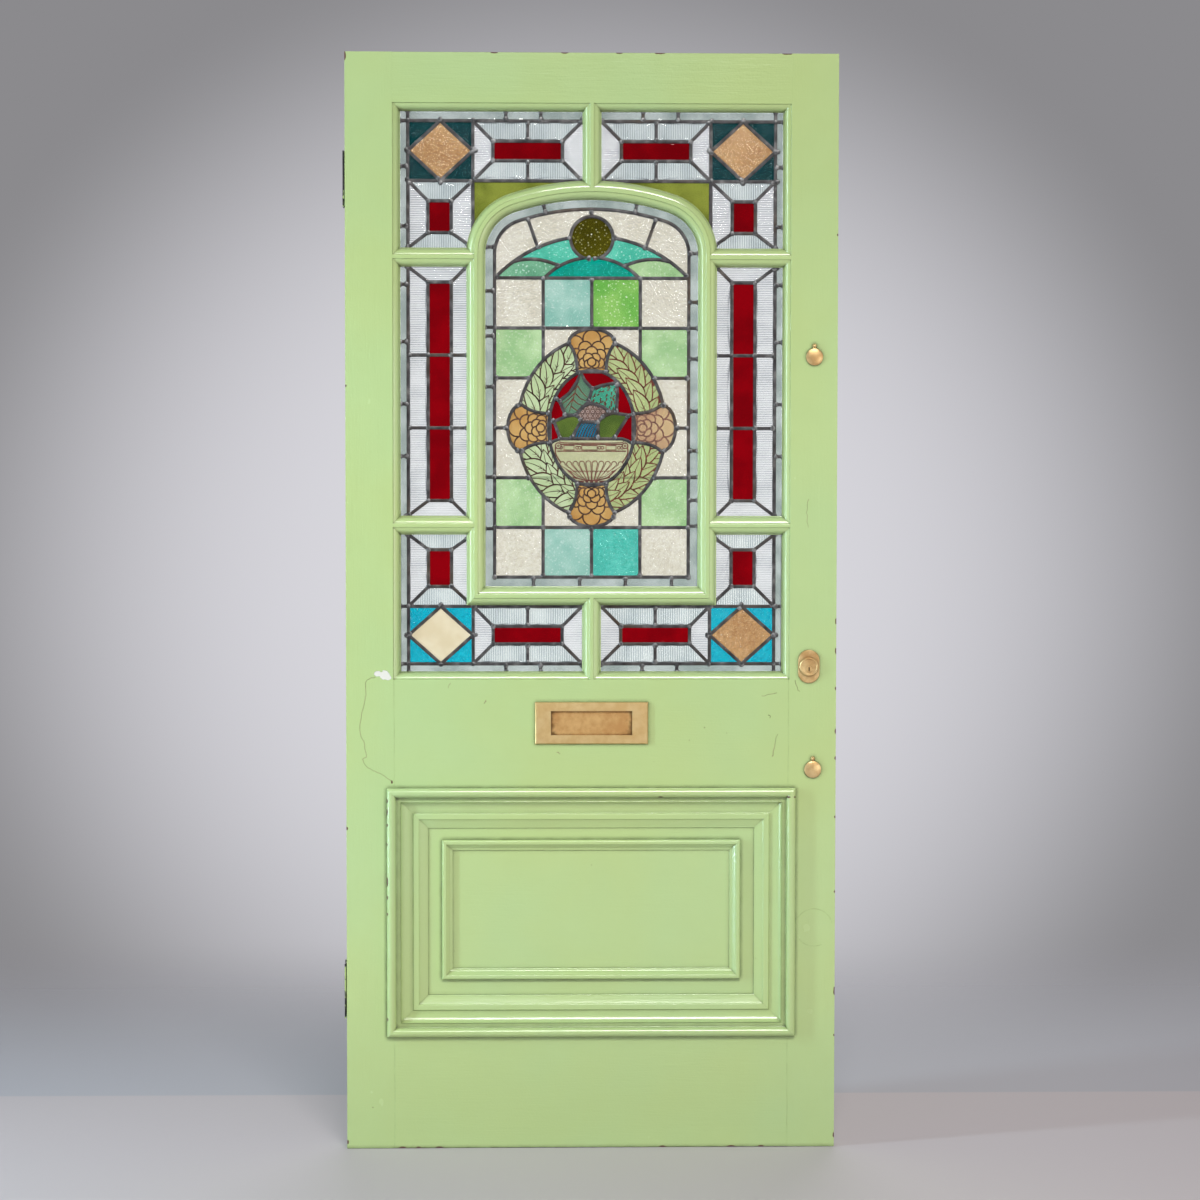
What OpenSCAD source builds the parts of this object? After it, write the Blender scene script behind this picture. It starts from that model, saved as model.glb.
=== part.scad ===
// Painted front door: a framed and panelled leaf with an arched leaded light at its centre,
// six smaller leaded lights around it, a bolection moulded panel, a letter plate, a cylinder
// pull, two mortice locks and a pair of butt hinges.
// X runs across the door, Y from its face to its back, and Z up from its bottom edge.

/* [Leaf] */
// Width of the leaf
door_w = 910; // [850:5:1100]
// Height of the leaf
door_h = 2032; // [1980:4:2440]
// Thickness of the leaf
leaf_t = 44; // [40:1:54]
// Face width of the two stiles
stile_w = 87; // [84:1:105]
// Face height of the top rail
top_rail_h = 92; // [76:1:120]
// Face height of the lock rail
lock_rail_h = 214; // [200:1:260]
// Face height of the bottom rail
bottom_rail_h = 222; // [200:1:270]
// Height of the opening for the wooden panel
panel_open_h = 441; // [380:1:530]

/* [Joints in the timber] */
// Thickness of every tenon
tenon_t = 14; // [10:1:16]
// Width of a through tenon
tenon_w = 60; // [50:1:64]
// Distance from the edge of a rail to its first tenon
tenon_edge = 20; // [15:1:24]
// Length of the stub tenons on the glazing bars
stub_l = 12; // [8:1:16]
// Thickness of a wedge at its thick end
wedge_t = 5; // [3:0.5:7]
// Length of a wedge
wedge_l = 45; // [35:1:60]
// Depth of the groove that holds the panel
groove_d = 10; // [8:1:12]
// Thickness of the panel
panel_t = 16; // [12:1:18]
// Depth of the panel below the face of the door
panel_recess = 12; // [8:1:14]

/* [Mouldings] */
// Width of the moulding worked around the glass
sticking_w = 14; // [12:1:16]
// Depth of the glass below the face of the door
glass_recess = 18; // [15:1:20]
// Width of the rebate that holds the glass
rebate_w = 9; // [8:1:10]
// Flat left on the face of a glazing bar
bar_flat = 7; // [5:1:10]
// Width of the bolection moulding
bolection_w = 76; // [66:1:84]
// Overlap of the bolection moulding onto the frame
bolection_lap = 12; // [9:1:14]
// Height of the bolection moulding above the face of the door
bolection_proud = 14; // [10:1:18]
// Gap between the bolection moulding and the raised square of moulding on the panel
field_gap = 26; // [20:1:34]
// Width of the raised square of moulding
field_w = 20; // [16:1:24]
// Height of that moulding above the panel
field_t = 10; // [8:1:12]
// Width of the plain moulding at the back of the panel
back_mould_w = 15; // [12:1:16]

/* [Centre light] */
// Distance between the centre lines of the two uprights beside the centre light
centre_w = 429; // [400:1:480]
// Height of the centre line of the sill above the lock rail
lower_light_h = 155; // [148:1:180]
// Distance from the crown of the arch down from the top rail
upper_light_h = 158; // [150:1:180]
// Rise of the arch
arch_rise = 117; // [110:1:130]
// Radius of the arch at its shoulders
arch_corner_r = 98; // [90:1:104]
// Height of the lower side bars above the sill
lower_bar_up = 131; // [125:1:160]
// Distance of the upper side bars down from the top rail
upper_bar_down = 282; // [274:1:288]

/* [Leading] */
// Width of a lead came
came_w = 6; // [5:0.5:8]
// Thickness of a lead came
came_t = 5.5; // [5:0.5:7]
// Thickness of the heart between two panes
heart_w = 1.4; // [1.2:0.1:2]
// Thickness of the glass
glass_t = 3; // [2.6:0.1:3.4]
// Gap between the glass and the heart of the came
glass_gap = 0.3; // [0.2:0.1:0.5]
// Width of the border strips at the sides and the bottom
border_w = 14; // [12:1:18]
// Width of the border strip at the top
top_border_w = 17; // [14:1:20]
// Width of the border strip around the centre light
centre_border_w = 17; // [14:1:20]
// Width of a corner square
corner_w = 120; // [112:1:126]
// Height of a corner square at the top
top_corner_h = 110; // [104:1:114]
// Height of a corner square at the bottom
low_corner_h = 107; // [100:1:112]
// Distance from the leads around a light to its ruby pane
ruby_inset = 37; // [30:1:38]
// Distance from the timber to a ruby pane
ruby_bar_inset = 28; // [24:1:30]
// From the inner edge of a corner to the small ruby pane beside it
small_ruby_inset = 40; // [37:1:42]
// Height of the squares in the centre light above its lower lead
grid_h = 554; // [540:1:570]
// Half width and half height of the wreath
wreath_r = [138, 165]; // [130:1:170]
// Half width and half height of the oval inside the wreath
oval_r = [80, 107]; // [76:1:110]

/* [Hinges] */
// Height of a hinge
hinge_h = 102; // [90:1:120]
// Height of the lower hinge's centre above the bottom edge
low_hinge_z = 293; // [250:1:330]
// Distance of the upper hinge's centre below the top edge
top_hinge_down = 230; // [180:1:260]
// Width of a hinge leaf let into the stile
hinge_leaf_w = 30; // [26:1:36]
// Thickness of a hinge leaf
hinge_leaf_t = 2.5; // [2:0.1:3]
// Outer radius of a hinge knuckle
knuckle_r = 5.5; // [5:0.1:6]
// Radius of a hinge pin
pin_r = 3; // [2.5:0.1:3.4]
// Radius of a screw hole in a hinge leaf
hinge_hole_r = 2.4; // [2.2:0.1:2.8]
// Gap between the closed leaves
hinge_gap = 2.5; // [2:0.1:3]

/* [Letter plate] */
// Width of the plate
plate_w = 210; // [200:1:240]
// Height of the plate
plate_h = 78; // [74:1:88]
// Thickness of the plate
plate_t = 5; // [4:0.5:6]
// Width of the opening in the plate
letter_w = 151; // [140:1:156]
// Height of the opening in the plate
letter_h = 45; // [40:1:50]
// Height of the plate's centre above the lower edge of the lock rail
letter_up = 133; // [120:1:140]
// Thickness of the flap
flap_t = 2.5; // [2:0.1:3]
// Overlap of the flap behind the plate
flap_lap = 2.5; // [2:0.5:4]
// Radius of the rod that the flap hangs on
rod_r = 1.5; // [1.2:0.1:1.8]

/* [Locks] */
// Distance from the door's edge to the key
backset = 43; // [40:1:48]
// Height of the upper key cover's disc
upper_key_z = 1475; // [1400:1:1500]
// Height of the lower key cover's disc
lower_key_z = 709; // [702:1:716]
// Radius of a key cover
cover_r = 15.8; // [14:0.1:17]
// Distance from a key cover's disc up to its pivot
cover_arm = 20.5; // [19:0.5:22]
// Thickness of a key cover
cover_t = 2.5; // [2:0.1:3]
// Depth of a lock case
case_d = 62; // [58:1:64]
// Height of a lock case
case_h = 76; // [70:1:80]
// Thickness of a lock case
case_t = 15; // [13:1:16]
// Height of a lock bolt's head
bolt_h = 25; // [20:1:28]
// Distance from the door's edge to the cylinder
cylinder_backset = 51; // [48:1:54]
// Height of the cylinder above the lock rail
cylinder_up = 24; // [22:1:40]
// Width of the cylinder pull
pull_w = 40; // [38:1:44]
// Height of the cylinder pull
pull_h = 62; // [56:1:70]

/* [Hidden] */
$fn = 96;
tiny = 0.01;

paint = "yellowgreen";
brass = "darkgoldenrod";
steel = "slategray";

// The leaf's main lines. The face is at -face_y and the back at face_y.
half_w = door_w / 2;
face_y = leaf_t / 2;
open_x = half_w - stile_w;
panel_top_z = bottom_rail_h + panel_open_h;
glazing_z = panel_top_z + lock_rail_h;
top_z = door_h - top_rail_h;
sight_x = open_x - sticking_w;
sight_low = glazing_z + sticking_w;
sight_high = top_z - sticking_w;
glass_v = face_y - glass_recess;
wall_in = sticking_w - rebate_w;
wall_x = open_x - wall_in;

// Glazing bars and the arch
core_half = bar_flat / 2 + wall_in;
bar_half = bar_flat / 2 + sticking_w;
mitre_r = bar_half + 1;
leg_x = centre_w / 2;
sill_z = glazing_z + lower_light_h;
crown_z = top_z - upper_light_h;
spring_z = crown_z - arch_rise;
low_bar_z = sill_z + lower_bar_up;
high_bar_z = top_z - upper_bar_down;
shoulder_x = leg_x - arch_corner_r;
arch_r = (leg_x * leg_x - 2 * leg_x * arch_corner_r + arch_rise * arch_rise)
    / (2 * (arch_rise - arch_corner_r));
arch_z = crown_z - arch_r;
arch_half_angle = atan2(shoulder_x, spring_z - arch_z);

// Leading
lead_edge = rebate_w - 2;
lead_front_y = -glass_v;
side_lead_x = -(sight_x - border_w);
top_lead_z = sight_high - top_border_w;
low_lead_z = sight_low + border_w;
corner_x = side_lead_x + corner_w;
top_corner_z = top_lead_z - top_corner_h;
low_corner_z = low_lead_z + low_corner_h;
leg_sight_x = -(leg_x + bar_half);
high_sight_z = high_bar_z + bar_half;
centre_lead_in = bar_half + centre_border_w;
grid_x = leg_x - centre_lead_in;
grid_z = sill_z + centre_lead_in;
grid_rows = 6;
grid_step = grid_h / grid_rows;
grid_col = grid_x / 2;
wreath_z = grid_z + 3 * grid_step;

// Hardware places
hinge_x = -half_w - hinge_gap / 2;
hinge_y = face_y + knuckle_r + 0.5;
hinge_zs = [low_hinge_z, door_h - top_hinge_down];
knuckles = 5;
letter_z = panel_top_z + letter_up;
rod_y = -face_y + 4;
rod_z = letter_z + letter_h / 2 + 3.5;
key_x = half_w - backset;
key_zs = [lower_key_z, upper_key_z];
cylinder_x = half_w - cylinder_backset;
cylinder_z = glazing_z + cylinder_up;
forend_t = 3;

// ---- Sections and sweeps ----
// A section is drawn as (u, v): u across the member and v from the centre of the leaf to its face.
module upright(z0, z1) { translate([0, 0, z0]) linear_extrude(z1 - z0) mirror([0, 1]) children(); }

module level(x0, x1) {
    translate([x0, 0, 0]) rotate([90, 0, 90]) linear_extrude(x1 - x0) rotate(90) children();
}

module around(r, from, sweep) {
    rotate([90, 0, 0]) rotate([0, 0, from]) rotate_extrude(angle = sweep)
        translate([r, 0]) children();
}

// A block through the leaf with the outline points, drawn as (x, z)
module slab(points) { between(-2 * leaf_t, 2 * leaf_t) polygon(points); }

// What is drawn as (x, z), made solid between two depths
module between(y0, y1) {
    translate([0, y1, 0]) rotate([90, 0, 0]) linear_extrude(y1 - y0) children();
}

// The moulding worked on an edge, from the flat at u = 0 to the back of the rebate
function sticking() = let (
        step = 2,
        fillet = 3,
        low = glass_v + fillet,
        a = sticking_w - step,
        b = face_y - step - low)
    concat([[0, face_y], [0.8, face_y - step]],
        [for (t = [75:-15:0]) [a * cos(t), low + b * sin(t)]],
        [[sticking_w, low], [sticking_w, glass_v], [wall_in, glass_v], [wall_in, -face_y]]);

module edge_section() { polygon(concat([[-1, -face_y], [-1, face_y]], sticking())); }

module bar_section() {
    side = [for (p = sticking()) [p[0] + bar_flat / 2, p[1]]];
    last = len(side) - 1;
    polygon(concat(side, [for (i = [last:-1:0]) [-side[i][0], side[i][1]]]));
}

// ---- Main frame ----
module left_stile_blank() {
    translate([-half_w, -face_y, 0]) cube([stile_w, leaf_t, door_h]);
    translate([-open_x, 0, 0]) upright(glazing_z, top_z) edge_section();
}

module both_stile_blanks() {
    left_stile_blank();
    mirror([1, 0, 0]) left_stile_blank();
}

// Tenon rows: lower edge of each tenon, and whether its right end stops short of the lower lock
tenon_rows = [
    [tenon_edge, false],
    [bottom_rail_h - groove_d - tenon_edge - tenon_w, false],
    [panel_top_z + groove_d + tenon_edge / 2, true],
    [glazing_z - tenon_edge - tenon_w, false],
    [top_z + tenon_edge, false]
];

function tenon_end(stops, side) = stops && side > 0 ? half_w - case_d - forend_t - 1 : half_w;

module tenon(row, side) {
    length = tenon_end(row[1], side) - open_x;
    translate([side > 0 ? open_x : -open_x - length, -tenon_t / 2, row[0]])
        cube([length, tenon_t, tenon_w]);
}

module wedge_pair(row, side) {
    low = row[0];
    high = row[0] + tenon_w;
    between(-tenon_t / 2, tenon_t / 2) {
        polygon([[side * half_w, low], [side * (half_w - wedge_l), low],
            [side * half_w, low - wedge_t]]);
        polygon([[side * half_w, high], [side * (half_w - wedge_l), high],
            [side * half_w, high + wedge_t]]);
    }
}

module wedges(side) {
    for (row = tenon_rows) if (tenon_end(row[1], side) == half_w) wedge_pair(row, side);
}

module rail_tenons(rows) { for (i = rows, side = [-1, 1]) tenon(tenon_rows[i], side); }

module tenon_wedges() { color("olivedrab") for (side = [-1, 1]) wedges(side); }

// Stub tenons of the glazing bars: into a stile at height z, and into a rail from height z up
module side_stub(z, side) {
    translate([side > 0 ? wall_x : -open_x - stub_l, 0, z - core_half + 0.5])
        cube([open_x + stub_l - wall_x, tenon_t - 2, 2 * core_half - 1]);
}

module end_stub(z) {
    translate([-core_half + 0.5, 0, z]) cube([2 * core_half - 1, tenon_t - 2, stub_l + wall_in]);
}

module groove_cut() {
    translate([-open_x - groove_d, -face_y + panel_recess, bottom_rail_h - groove_d])
        cube([2 * (open_x + groove_d), panel_t, panel_open_h + 2 * groove_d]);
}

module hinge_leaf_block(x0) {
    for (z = hinge_zs) translate([x0, face_y - hinge_leaf_w, z - hinge_h / 2])
        cube([hinge_leaf_t, hinge_leaf_w, hinge_h]);
}

// One countersunk screw with its head in the plane x = 0, pointing along +X
module countersunk(head_r, shank_r, length) {
    rotate([0, 90, 0]) {
        cylinder(r1 = head_r, r2 = shank_r, h = hinge_leaf_t - 0.3);
        cylinder(r = shank_r, h = length);
    }
}

hinge_screw_r = 1.9;
hinge_head_r = 4.4;
hinge_screw_l = 28;
hinge_outer_step = 38;
hinge_inner_step = 13;
hinge_outer_y = face_y - 20;
hinge_inner_y = face_y - 9;
hinge_hole_places = [for (z = hinge_zs, s = [-1, 1], k = [0, 1])
    [k == 0 ? hinge_outer_y : hinge_inner_y, z + s * (k == 0 ? hinge_outer_step : hinge_inner_step)]];

module hinge_stile() {
    color(paint) difference() {
        left_stile_blank();
        groove_cut();
        for (row = tenon_rows) tenon(row, -1);
        wedges(-1);
        for (z = [low_bar_z, high_bar_z]) side_stub(z, -1);
        hinge_leaf_block(-half_w);
        for (p = hinge_hole_places) translate([-half_w, p[0], p[1]])
            countersunk(hinge_head_r + 0.1, hinge_screw_r + 0.1, hinge_screw_l + 1);
    }
}

module lock_stile() {
    color(paint) difference() {
        mirror([1, 0, 0]) left_stile_blank();
        groove_cut();
        for (row = tenon_rows) tenon(row, 1);
        wedges(1);
        for (z = [low_bar_z, high_bar_z]) side_stub(z, 1);
        for (z = key_zs) lock_mortice(z);
        cylinder_hole();
    }
}

module level_edge(z, up) {
    translate([0, 0, z]) mirror([0, 0, up ? 0 : 1]) level(-open_x, open_x) edge_section();
}

module rail_box(z, height) {
    translate([-open_x, -face_y, z]) cube([2 * open_x, leaf_t, height]);
}

module top_rail_blank() {
    rail_box(top_z, top_rail_h);
    difference() {
        level_edge(top_z, false);
        both_stile_blanks();
    }
}

module lock_rail_blank() {
    rail_box(panel_top_z, lock_rail_h);
    difference() {
        level_edge(glazing_z, true);
        both_stile_blanks();
    }
}

module top_rail() {
    color(paint) {
        difference() {
            top_rail_blank();
            end_stub(top_z - wall_in);
        }
        rail_tenons([4]);
    }
}

module lock_rail() {
    color(paint) {
        difference() {
            lock_rail_blank();
            groove_cut();
            end_stub(glazing_z - stub_l);
            letter_slot();
            letter_stud_holes();
        }
        rail_tenons([2, 3]);
    }
}

module bottom_rail() {
    color(paint) {
        difference() {
            rail_box(0, bottom_rail_h);
            groove_cut();
        }
        rail_tenons([0, 1]);
    }
}

// ---- Glazing bars ----
module centre_leg(side) {
    difference() {
        translate([side * leg_x, 0, 0]) upright(sill_z - bar_half, spring_z) bar_section();
        slab([[side * (leg_x - mitre_r), sill_z + mitre_r],
            [side * (leg_x + mitre_r), sill_z - mitre_r],
            [side * (leg_x - mitre_r), sill_z - mitre_r]]);
    }
}

module centre_legs() { color(paint) for (side = [-1, 1]) centre_leg(side); }

module centre_sill() {
    color(paint) intersection() {
        translate([0, 0, sill_z]) level(-leg_x - bar_half, leg_x + bar_half) bar_section();
        slab([[-leg_x + mitre_r, sill_z + mitre_r], [leg_x - mitre_r, sill_z + mitre_r],
            [leg_x + mitre_r, sill_z - mitre_r], [-leg_x - mitre_r, sill_z - mitre_r]]);
    }
}

module arch_head_blank() {
    translate([0, 0, arch_z])
        around(arch_r, 90 - arch_half_angle, 2 * arch_half_angle) bar_section();
    for (side = [0, 1]) mirror([side, 0, 0]) translate([shoulder_x, 0, spring_z])
        around(arch_corner_r, 0, 90 - arch_half_angle) bar_section();
}

module arch_head() { color(paint) arch_head_blank(); }

module centre_frame_blank() {
    arch_head_blank();
    for (side = [-1, 1]) centre_leg(side);
}

module top_muntin() {
    color(paint) {
        // Its foot is scribed over the crown of the arch as over a level bar, which the crown all but is
        difference() {
            upright(crown_z, top_z) bar_section();
            top_rail_blank();
            translate([0, 0, crown_z]) level(-2 * bar_half, 2 * bar_half) bar_section();
        }
        end_stub(top_z - wall_in);
    }
}

module bottom_muntin() {
    color(paint) {
        difference() {
            upright(glazing_z, sill_z) bar_section();
            lock_rail_blank();
            centre_sill();
        }
        end_stub(glazing_z - stub_l);
    }
}

module side_bar(z, side) {
    difference() {
        translate([0, 0, z]) level(side > 0 ? leg_x : -open_x, side > 0 ? open_x : -leg_x)
            bar_section();
        both_stile_blanks();
        centre_frame_blank();
    }
    side_stub(z, side);
}

module upper_side_bars() { color(paint) for (side = [-1, 1]) side_bar(high_bar_z, side); }

module lower_side_bars() { color(paint) for (side = [-1, 1]) side_bar(low_bar_z, side); }

// ---- Panel and its mouldings ----
panel_v = face_y - panel_recess;
bolection_x = open_x + bolection_lap;
bolection_low = bottom_rail_h - bolection_lap;
bolection_high = panel_top_z + bolection_lap;
field_x = bolection_x - bolection_w - field_gap;
field_lift = 4;
field_low = bolection_low + bolection_w + field_gap + field_lift;
field_high = bolection_high - bolection_w - field_gap + field_lift;

module bottom_panel() {
    color(paint) translate([-open_x - groove_d + 1, -face_y + panel_recess,
        bottom_rail_h - groove_d + 1])
        cube([2 * (open_x + groove_d) - 2, panel_t, panel_open_h + 2 * groove_d - 2]);
}

mitre_gap = 0.1;

// Four lengths of a moulding, mitred at the corners. The section's u runs inwards.
module mitred_lengths(half_x, z0, z1, width) {
    mid_z = (z0 + z1) / 2;
    low = z0 - mid_z;
    for (s = [0, 1]) translate([0, 0, mid_z]) mirror([0, 0, s]) intersection() {
        translate([0, 0, low]) level(-half_x, half_x) children();
        slab([[-half_x, low], [half_x, low], [half_x - width, low + width],
            [-half_x + width, low + width]]);
    }
    for (s = [0, 1]) mirror([s, 0, 0]) intersection() {
        translate([-half_x, 0, 0]) upright(z0, z1) children();
        slab([[-half_x, z0 + mitre_gap], [-half_x, z1 - mitre_gap],
            [-half_x + width, z1 - width - mitre_gap], [-half_x + width, z0 + width + mitre_gap]]);
    }
}

module bolection_section() {
    roll = 8.5;
    roll_v = face_y + bolection_proud - roll;
    quirk_v = face_y + 2;
    cove_u = 2 * roll + 9;
    cove_w = 22;
    cove_v = face_y + 5;
    cove_low = face_y - 6;
    fillet_u = cove_u + cove_w;
    fillet_v = cove_low + 3;
    slope_u = fillet_u + 11;
    edge_v = panel_v + 2;
    polygon(concat([[0, face_y]],
        [for (t = [180:-15:0]) [roll + roll * cos(t), roll_v + roll * sin(t)]],
        [[2 * roll, quirk_v], [cove_u, quirk_v], [cove_u, cove_v]],
        [for (t = [195:15:270]) [fillet_u + cove_w * cos(t), cove_v + (cove_v - cove_low) * sin(t)]],
        [[fillet_u + 1, fillet_v], [slope_u, fillet_v], [slope_u + 1, fillet_v - 2],
         [bolection_w - 3, edge_v], [bolection_w, edge_v], [bolection_w, panel_v],
         [bolection_lap, panel_v], [bolection_lap, face_y]]));
}

module bolection_moulding() {
    color(paint) mitred_lengths(bolection_x, bolection_low, bolection_high, bolection_w)
        bolection_section();
}

module field_section() {
    top_v = panel_v + field_t;
    flat = 6;
    polygon([[0, panel_v], [0, top_v - 3], [1, top_v - 2], [2, top_v], [2 + flat, top_v],
        [3 + flat, top_v - 2], [6 + flat, top_v - 4], [9 + flat, top_v - 7],
        [field_w - 2, panel_v + 2], [field_w, panel_v + 2], [field_w, panel_v]]);
}

module field_moulding() {
    color(paint) mitred_lengths(field_x, field_low, field_high, field_w) field_section();
}

module back_moulding() {
    back_v = panel_v - panel_t;
    color(paint) mitred_lengths(open_x, bottom_rail_h, panel_top_z, back_mould_w)
        polygon(concat([[0, back_v]], [for (t = [0:15:90])
            [back_mould_w * sin(t), back_v - (back_mould_w - 1) * cos(t)]]));
}

// ---- Outlines of the seven lights, drawn as (x, z) ----
// The inside of the arched frame's centre line, grown by d
module arch_area(d) {
    reach = 2 * arch_r;
    translate([-leg_x - d, sill_z - d]) square([2 * (leg_x + d), spring_z - sill_z + d]);
    for (side = [-1, 1]) translate([side * shoulder_x, spring_z]) circle(arch_corner_r + d);
    intersection() {
        translate([0, arch_z]) circle(arch_r + d);
        polygon([[0, arch_z], [-reach * sin(arch_half_angle), arch_z + reach * cos(arch_half_angle)],
            [reach * sin(arch_half_angle), arch_z + reach * cos(arch_half_angle)]]);
    }
}

module box_2d(x0, x1, z0, z1) { translate([x0, z0]) square([x1 - x0, z1 - z0]); }

// A light's visible opening, grown by d. The side lights are those on the left.
module light_area(light, d) {
    if (light == "centre") arch_area(d - bar_half);
    if (light == "side") box_2d(-sight_x - d, leg_sight_x + d, low_bar_z + bar_half - d,
        high_bar_z - bar_half + d);
    if (light == "top") difference() {
        box_2d(-sight_x - d, -bar_half + d, high_sight_z - d, sight_high + d);
        arch_area(bar_half - d);
    }
    if (light == "bottom") difference() {
        box_2d(-sight_x - d, -bar_half + d, sight_low - d, low_bar_z - bar_half + d);
        arch_area(bar_half - d);
    }
}

// ---- Glazing beads ----
bead_t = 12;
bead_y = lead_front_y + came_t;
kerf_w = 0.2;

// Mitre cuts of a light's beads, each as a point and the direction of its cut
function kerfs(light) =
    light == "centre" ? [for (s = [-1, 1], k = [[[s * (leg_x - bar_half), sill_z + bar_half], [s, -1]],
            [[s * (leg_x - bar_half), spring_z], [s, 0]]]) k]
    : light == "side" ? [for (s = [-1, 1], c = [-1, 1])
            [[s < 0 ? -sight_x : leg_sight_x,
              c < 0 ? low_bar_z + bar_half : high_bar_z - bar_half], [s, c]]]
    : light == "top" ? [[[-sight_x, sight_high], [-1, 1]], [[-bar_half, sight_high], [1, 1]],
            [[-bar_half, crown_z + bar_half], [1, -1]], [[leg_sight_x, high_sight_z], [1, -1]],
            [[-sight_x, high_sight_z], [-1, -1]]]
    : [[[-sight_x, sight_low], [-1, -1]], [[-bar_half, sight_low], [1, -1]],
            [[-bar_half, sill_z - bar_half], [1, 1]], [[leg_sight_x, sill_z - bar_half], [1, 1]],
            [[leg_sight_x, low_bar_z - bar_half], [1, 1]], [[-sight_x, low_bar_z - bar_half], [-1, 1]]];

module beads_of(light) {
    between(bead_y, bead_y + bead_t) difference() {
        light_area(light, rebate_w - kerf_w);
        light_area(light, 0);
        for (k = kerfs(light)) line(k[0] - k[1], k[0] + k[1] * (rebate_w + 4), kerf_w);
    }
}

module glazing_beads() {
    color(paint) difference() {
        union() {
            beads_of("centre");
            for (m = [0, 1], light = ["top", "side", "bottom"]) mirror([m, 0, 0]) beads_of(light);
        }
        saddle_bar_block();
    }
}

// ---- Lines of the leading ----
// A straight came from a to b, with its ends carried on by half its width
module line(a, b, w) {
    run = b - a;
    translate(a) rotate(atan2(run[1], run[0])) translate([-w / 2, -w / 2])
        square([norm(run) + w, w]);
}

module lines(pairs, w) { for (p = pairs) line(p[0], p[1], w); }

module box_lines(x0, x1, z0, z1, w) {
    lines([[[x0, z0], [x1, z0]], [[x1, z0], [x1, z1]], [[x1, z1], [x0, z1]], [[x0, z1], [x0, z0]]], w);
}

// Points along a quadratic curve from a to c, pulled towards b
function curve(a, b, c, n = 8) = [for (i = [0:n]) let (t = i / n)
    a * (1 - t) * (1 - t) + b * 2 * t * (1 - t) + c * t * t];

function unit(v) = v / max(norm(v), tiny);
function side_of(v) = [v[1], -v[0]];

// A closed outline, listed anticlockwise, moved outwards by d
function grown(points, d) = let (n = len(points)) [for (i = [0:n - 1]) let (
        before = side_of(unit(points[i] - points[(i + n - 1) % n])),
        after = side_of(unit(points[(i + 1) % n] - points[i])),
        m = before + after)
    points[i] + m * (2 * d / max(m * m, 1.2))];

module ring(points, w) {
    difference() {
        polygon(grown(points, w / 2));
        polygon(grown(points, -w / 2));
    }
}

// A came along an open row of points
module ribbon(points, w) {
    n = len(points) - 1;
    sides = [for (i = [0:n]) side_of(unit(points[min(i + 1, n)] - points[max(i - 1, 0)])) * w / 2];
    polygon(concat([for (i = [0:n]) points[i] + sides[i]],
        [for (i = [n:-1:0]) points[i] - sides[i]]));
}

module ring_came(z, r, w) {
    translate([0, z]) difference() {
        circle(r + w / 2);
        circle(r - w / 2);
    }
}

function oval(r) = [for (t = [0:7.5:352.5]) [r[0] * cos(t), r[1] * sin(t)]];

// ---- Corner, top, bottom and side lights ----
top_ruby = [corner_x + ruby_inset, -bar_half - ruby_inset, top_corner_z + ruby_inset,
    top_lead_z - ruby_inset];
top_ruby_small = [side_lead_x + ruby_inset, corner_x - small_ruby_inset, high_sight_z
    + ruby_bar_inset, top_corner_z - ruby_inset];
low_ruby = [corner_x + ruby_inset, -bar_half - ruby_inset, low_lead_z + ruby_inset,
    low_corner_z - ruby_inset];
low_ruby_small = [side_lead_x + ruby_inset, corner_x - small_ruby_inset, low_corner_z
    + ruby_inset, low_bar_z - bar_half - ruby_bar_inset];
side_ruby = [side_lead_x + ruby_inset, leg_sight_x - ruby_bar_inset, low_bar_z + bar_half
    + ruby_bar_inset, high_bar_z - bar_half - ruby_bar_inset];
side_steps = [1 / 3, 2 / 3];

// A ruby pane with cames from its corners to the corners of the box around it
module ruby_lines(ruby, x0, x1, z0, z1, w) {
    box_lines(ruby[0], ruby[1], ruby[2], ruby[3], w);
    lines([[[ruby[0], ruby[2]], [x0, z0]], [[ruby[1], ruby[2]], [x1, z0]],
        [[ruby[1], ruby[3]], [x1, z1]], [[ruby[0], ruby[3]], [x0, z1]]], w);
}

module ruby_box(r) { box_2d(r[0], r[1], r[2], r[3]); }

function diamond(x0, x1, z0, z1) = let (x = (x0 + x1) / 2, z = (z0 + z1) / 2)
    [[x, z0], [x1, z], [x, z1], [x0, z]];

module diamond_lines(x0, x1, z0, z1, w) {
    d = diamond(x0, x1, z0, z1);
    for (i = [0:3]) line(d[i], d[(i + 1) % 4], w);
}

// Short cames across the border strips
side_ties_top = [40, 150];
side_ties_side = [0.24, 0.45, 0.7, 0.93];
end_ties = [0.3, 0.62];

module top_lines(w) {
    far = sight_high + rebate_w;
    low = high_sight_z - rebate_w;
    mid = (top_ruby[0] + top_ruby[1]) / 2;
    lines([[[side_lead_x, low], [side_lead_x, far]], [[-sight_x - rebate_w, top_lead_z], [0, top_lead_z]],
        [[corner_x, top_lead_z], [corner_x, low]], [[side_lead_x, top_corner_z], [0, top_corner_z]],
        [[mid, top_ruby[3]], [mid, top_lead_z]], [[mid, top_ruby[2]], [mid, top_corner_z]]], w);
    diamond_lines(side_lead_x, corner_x, top_corner_z, top_lead_z, w);
    ruby_lines(top_ruby, corner_x, -bar_half, top_corner_z, top_lead_z, w);
    ruby_lines(top_ruby_small, side_lead_x, corner_x, high_sight_z, top_corner_z, w);
    for (t = end_ties) let (x = corner_x + (-bar_half - corner_x) * t)
        line([x, top_lead_z], [x, far], w);
    for (t = side_ties_top) line([-sight_x - rebate_w, high_sight_z + t], [side_lead_x,
        high_sight_z + t], w);
}

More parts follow.
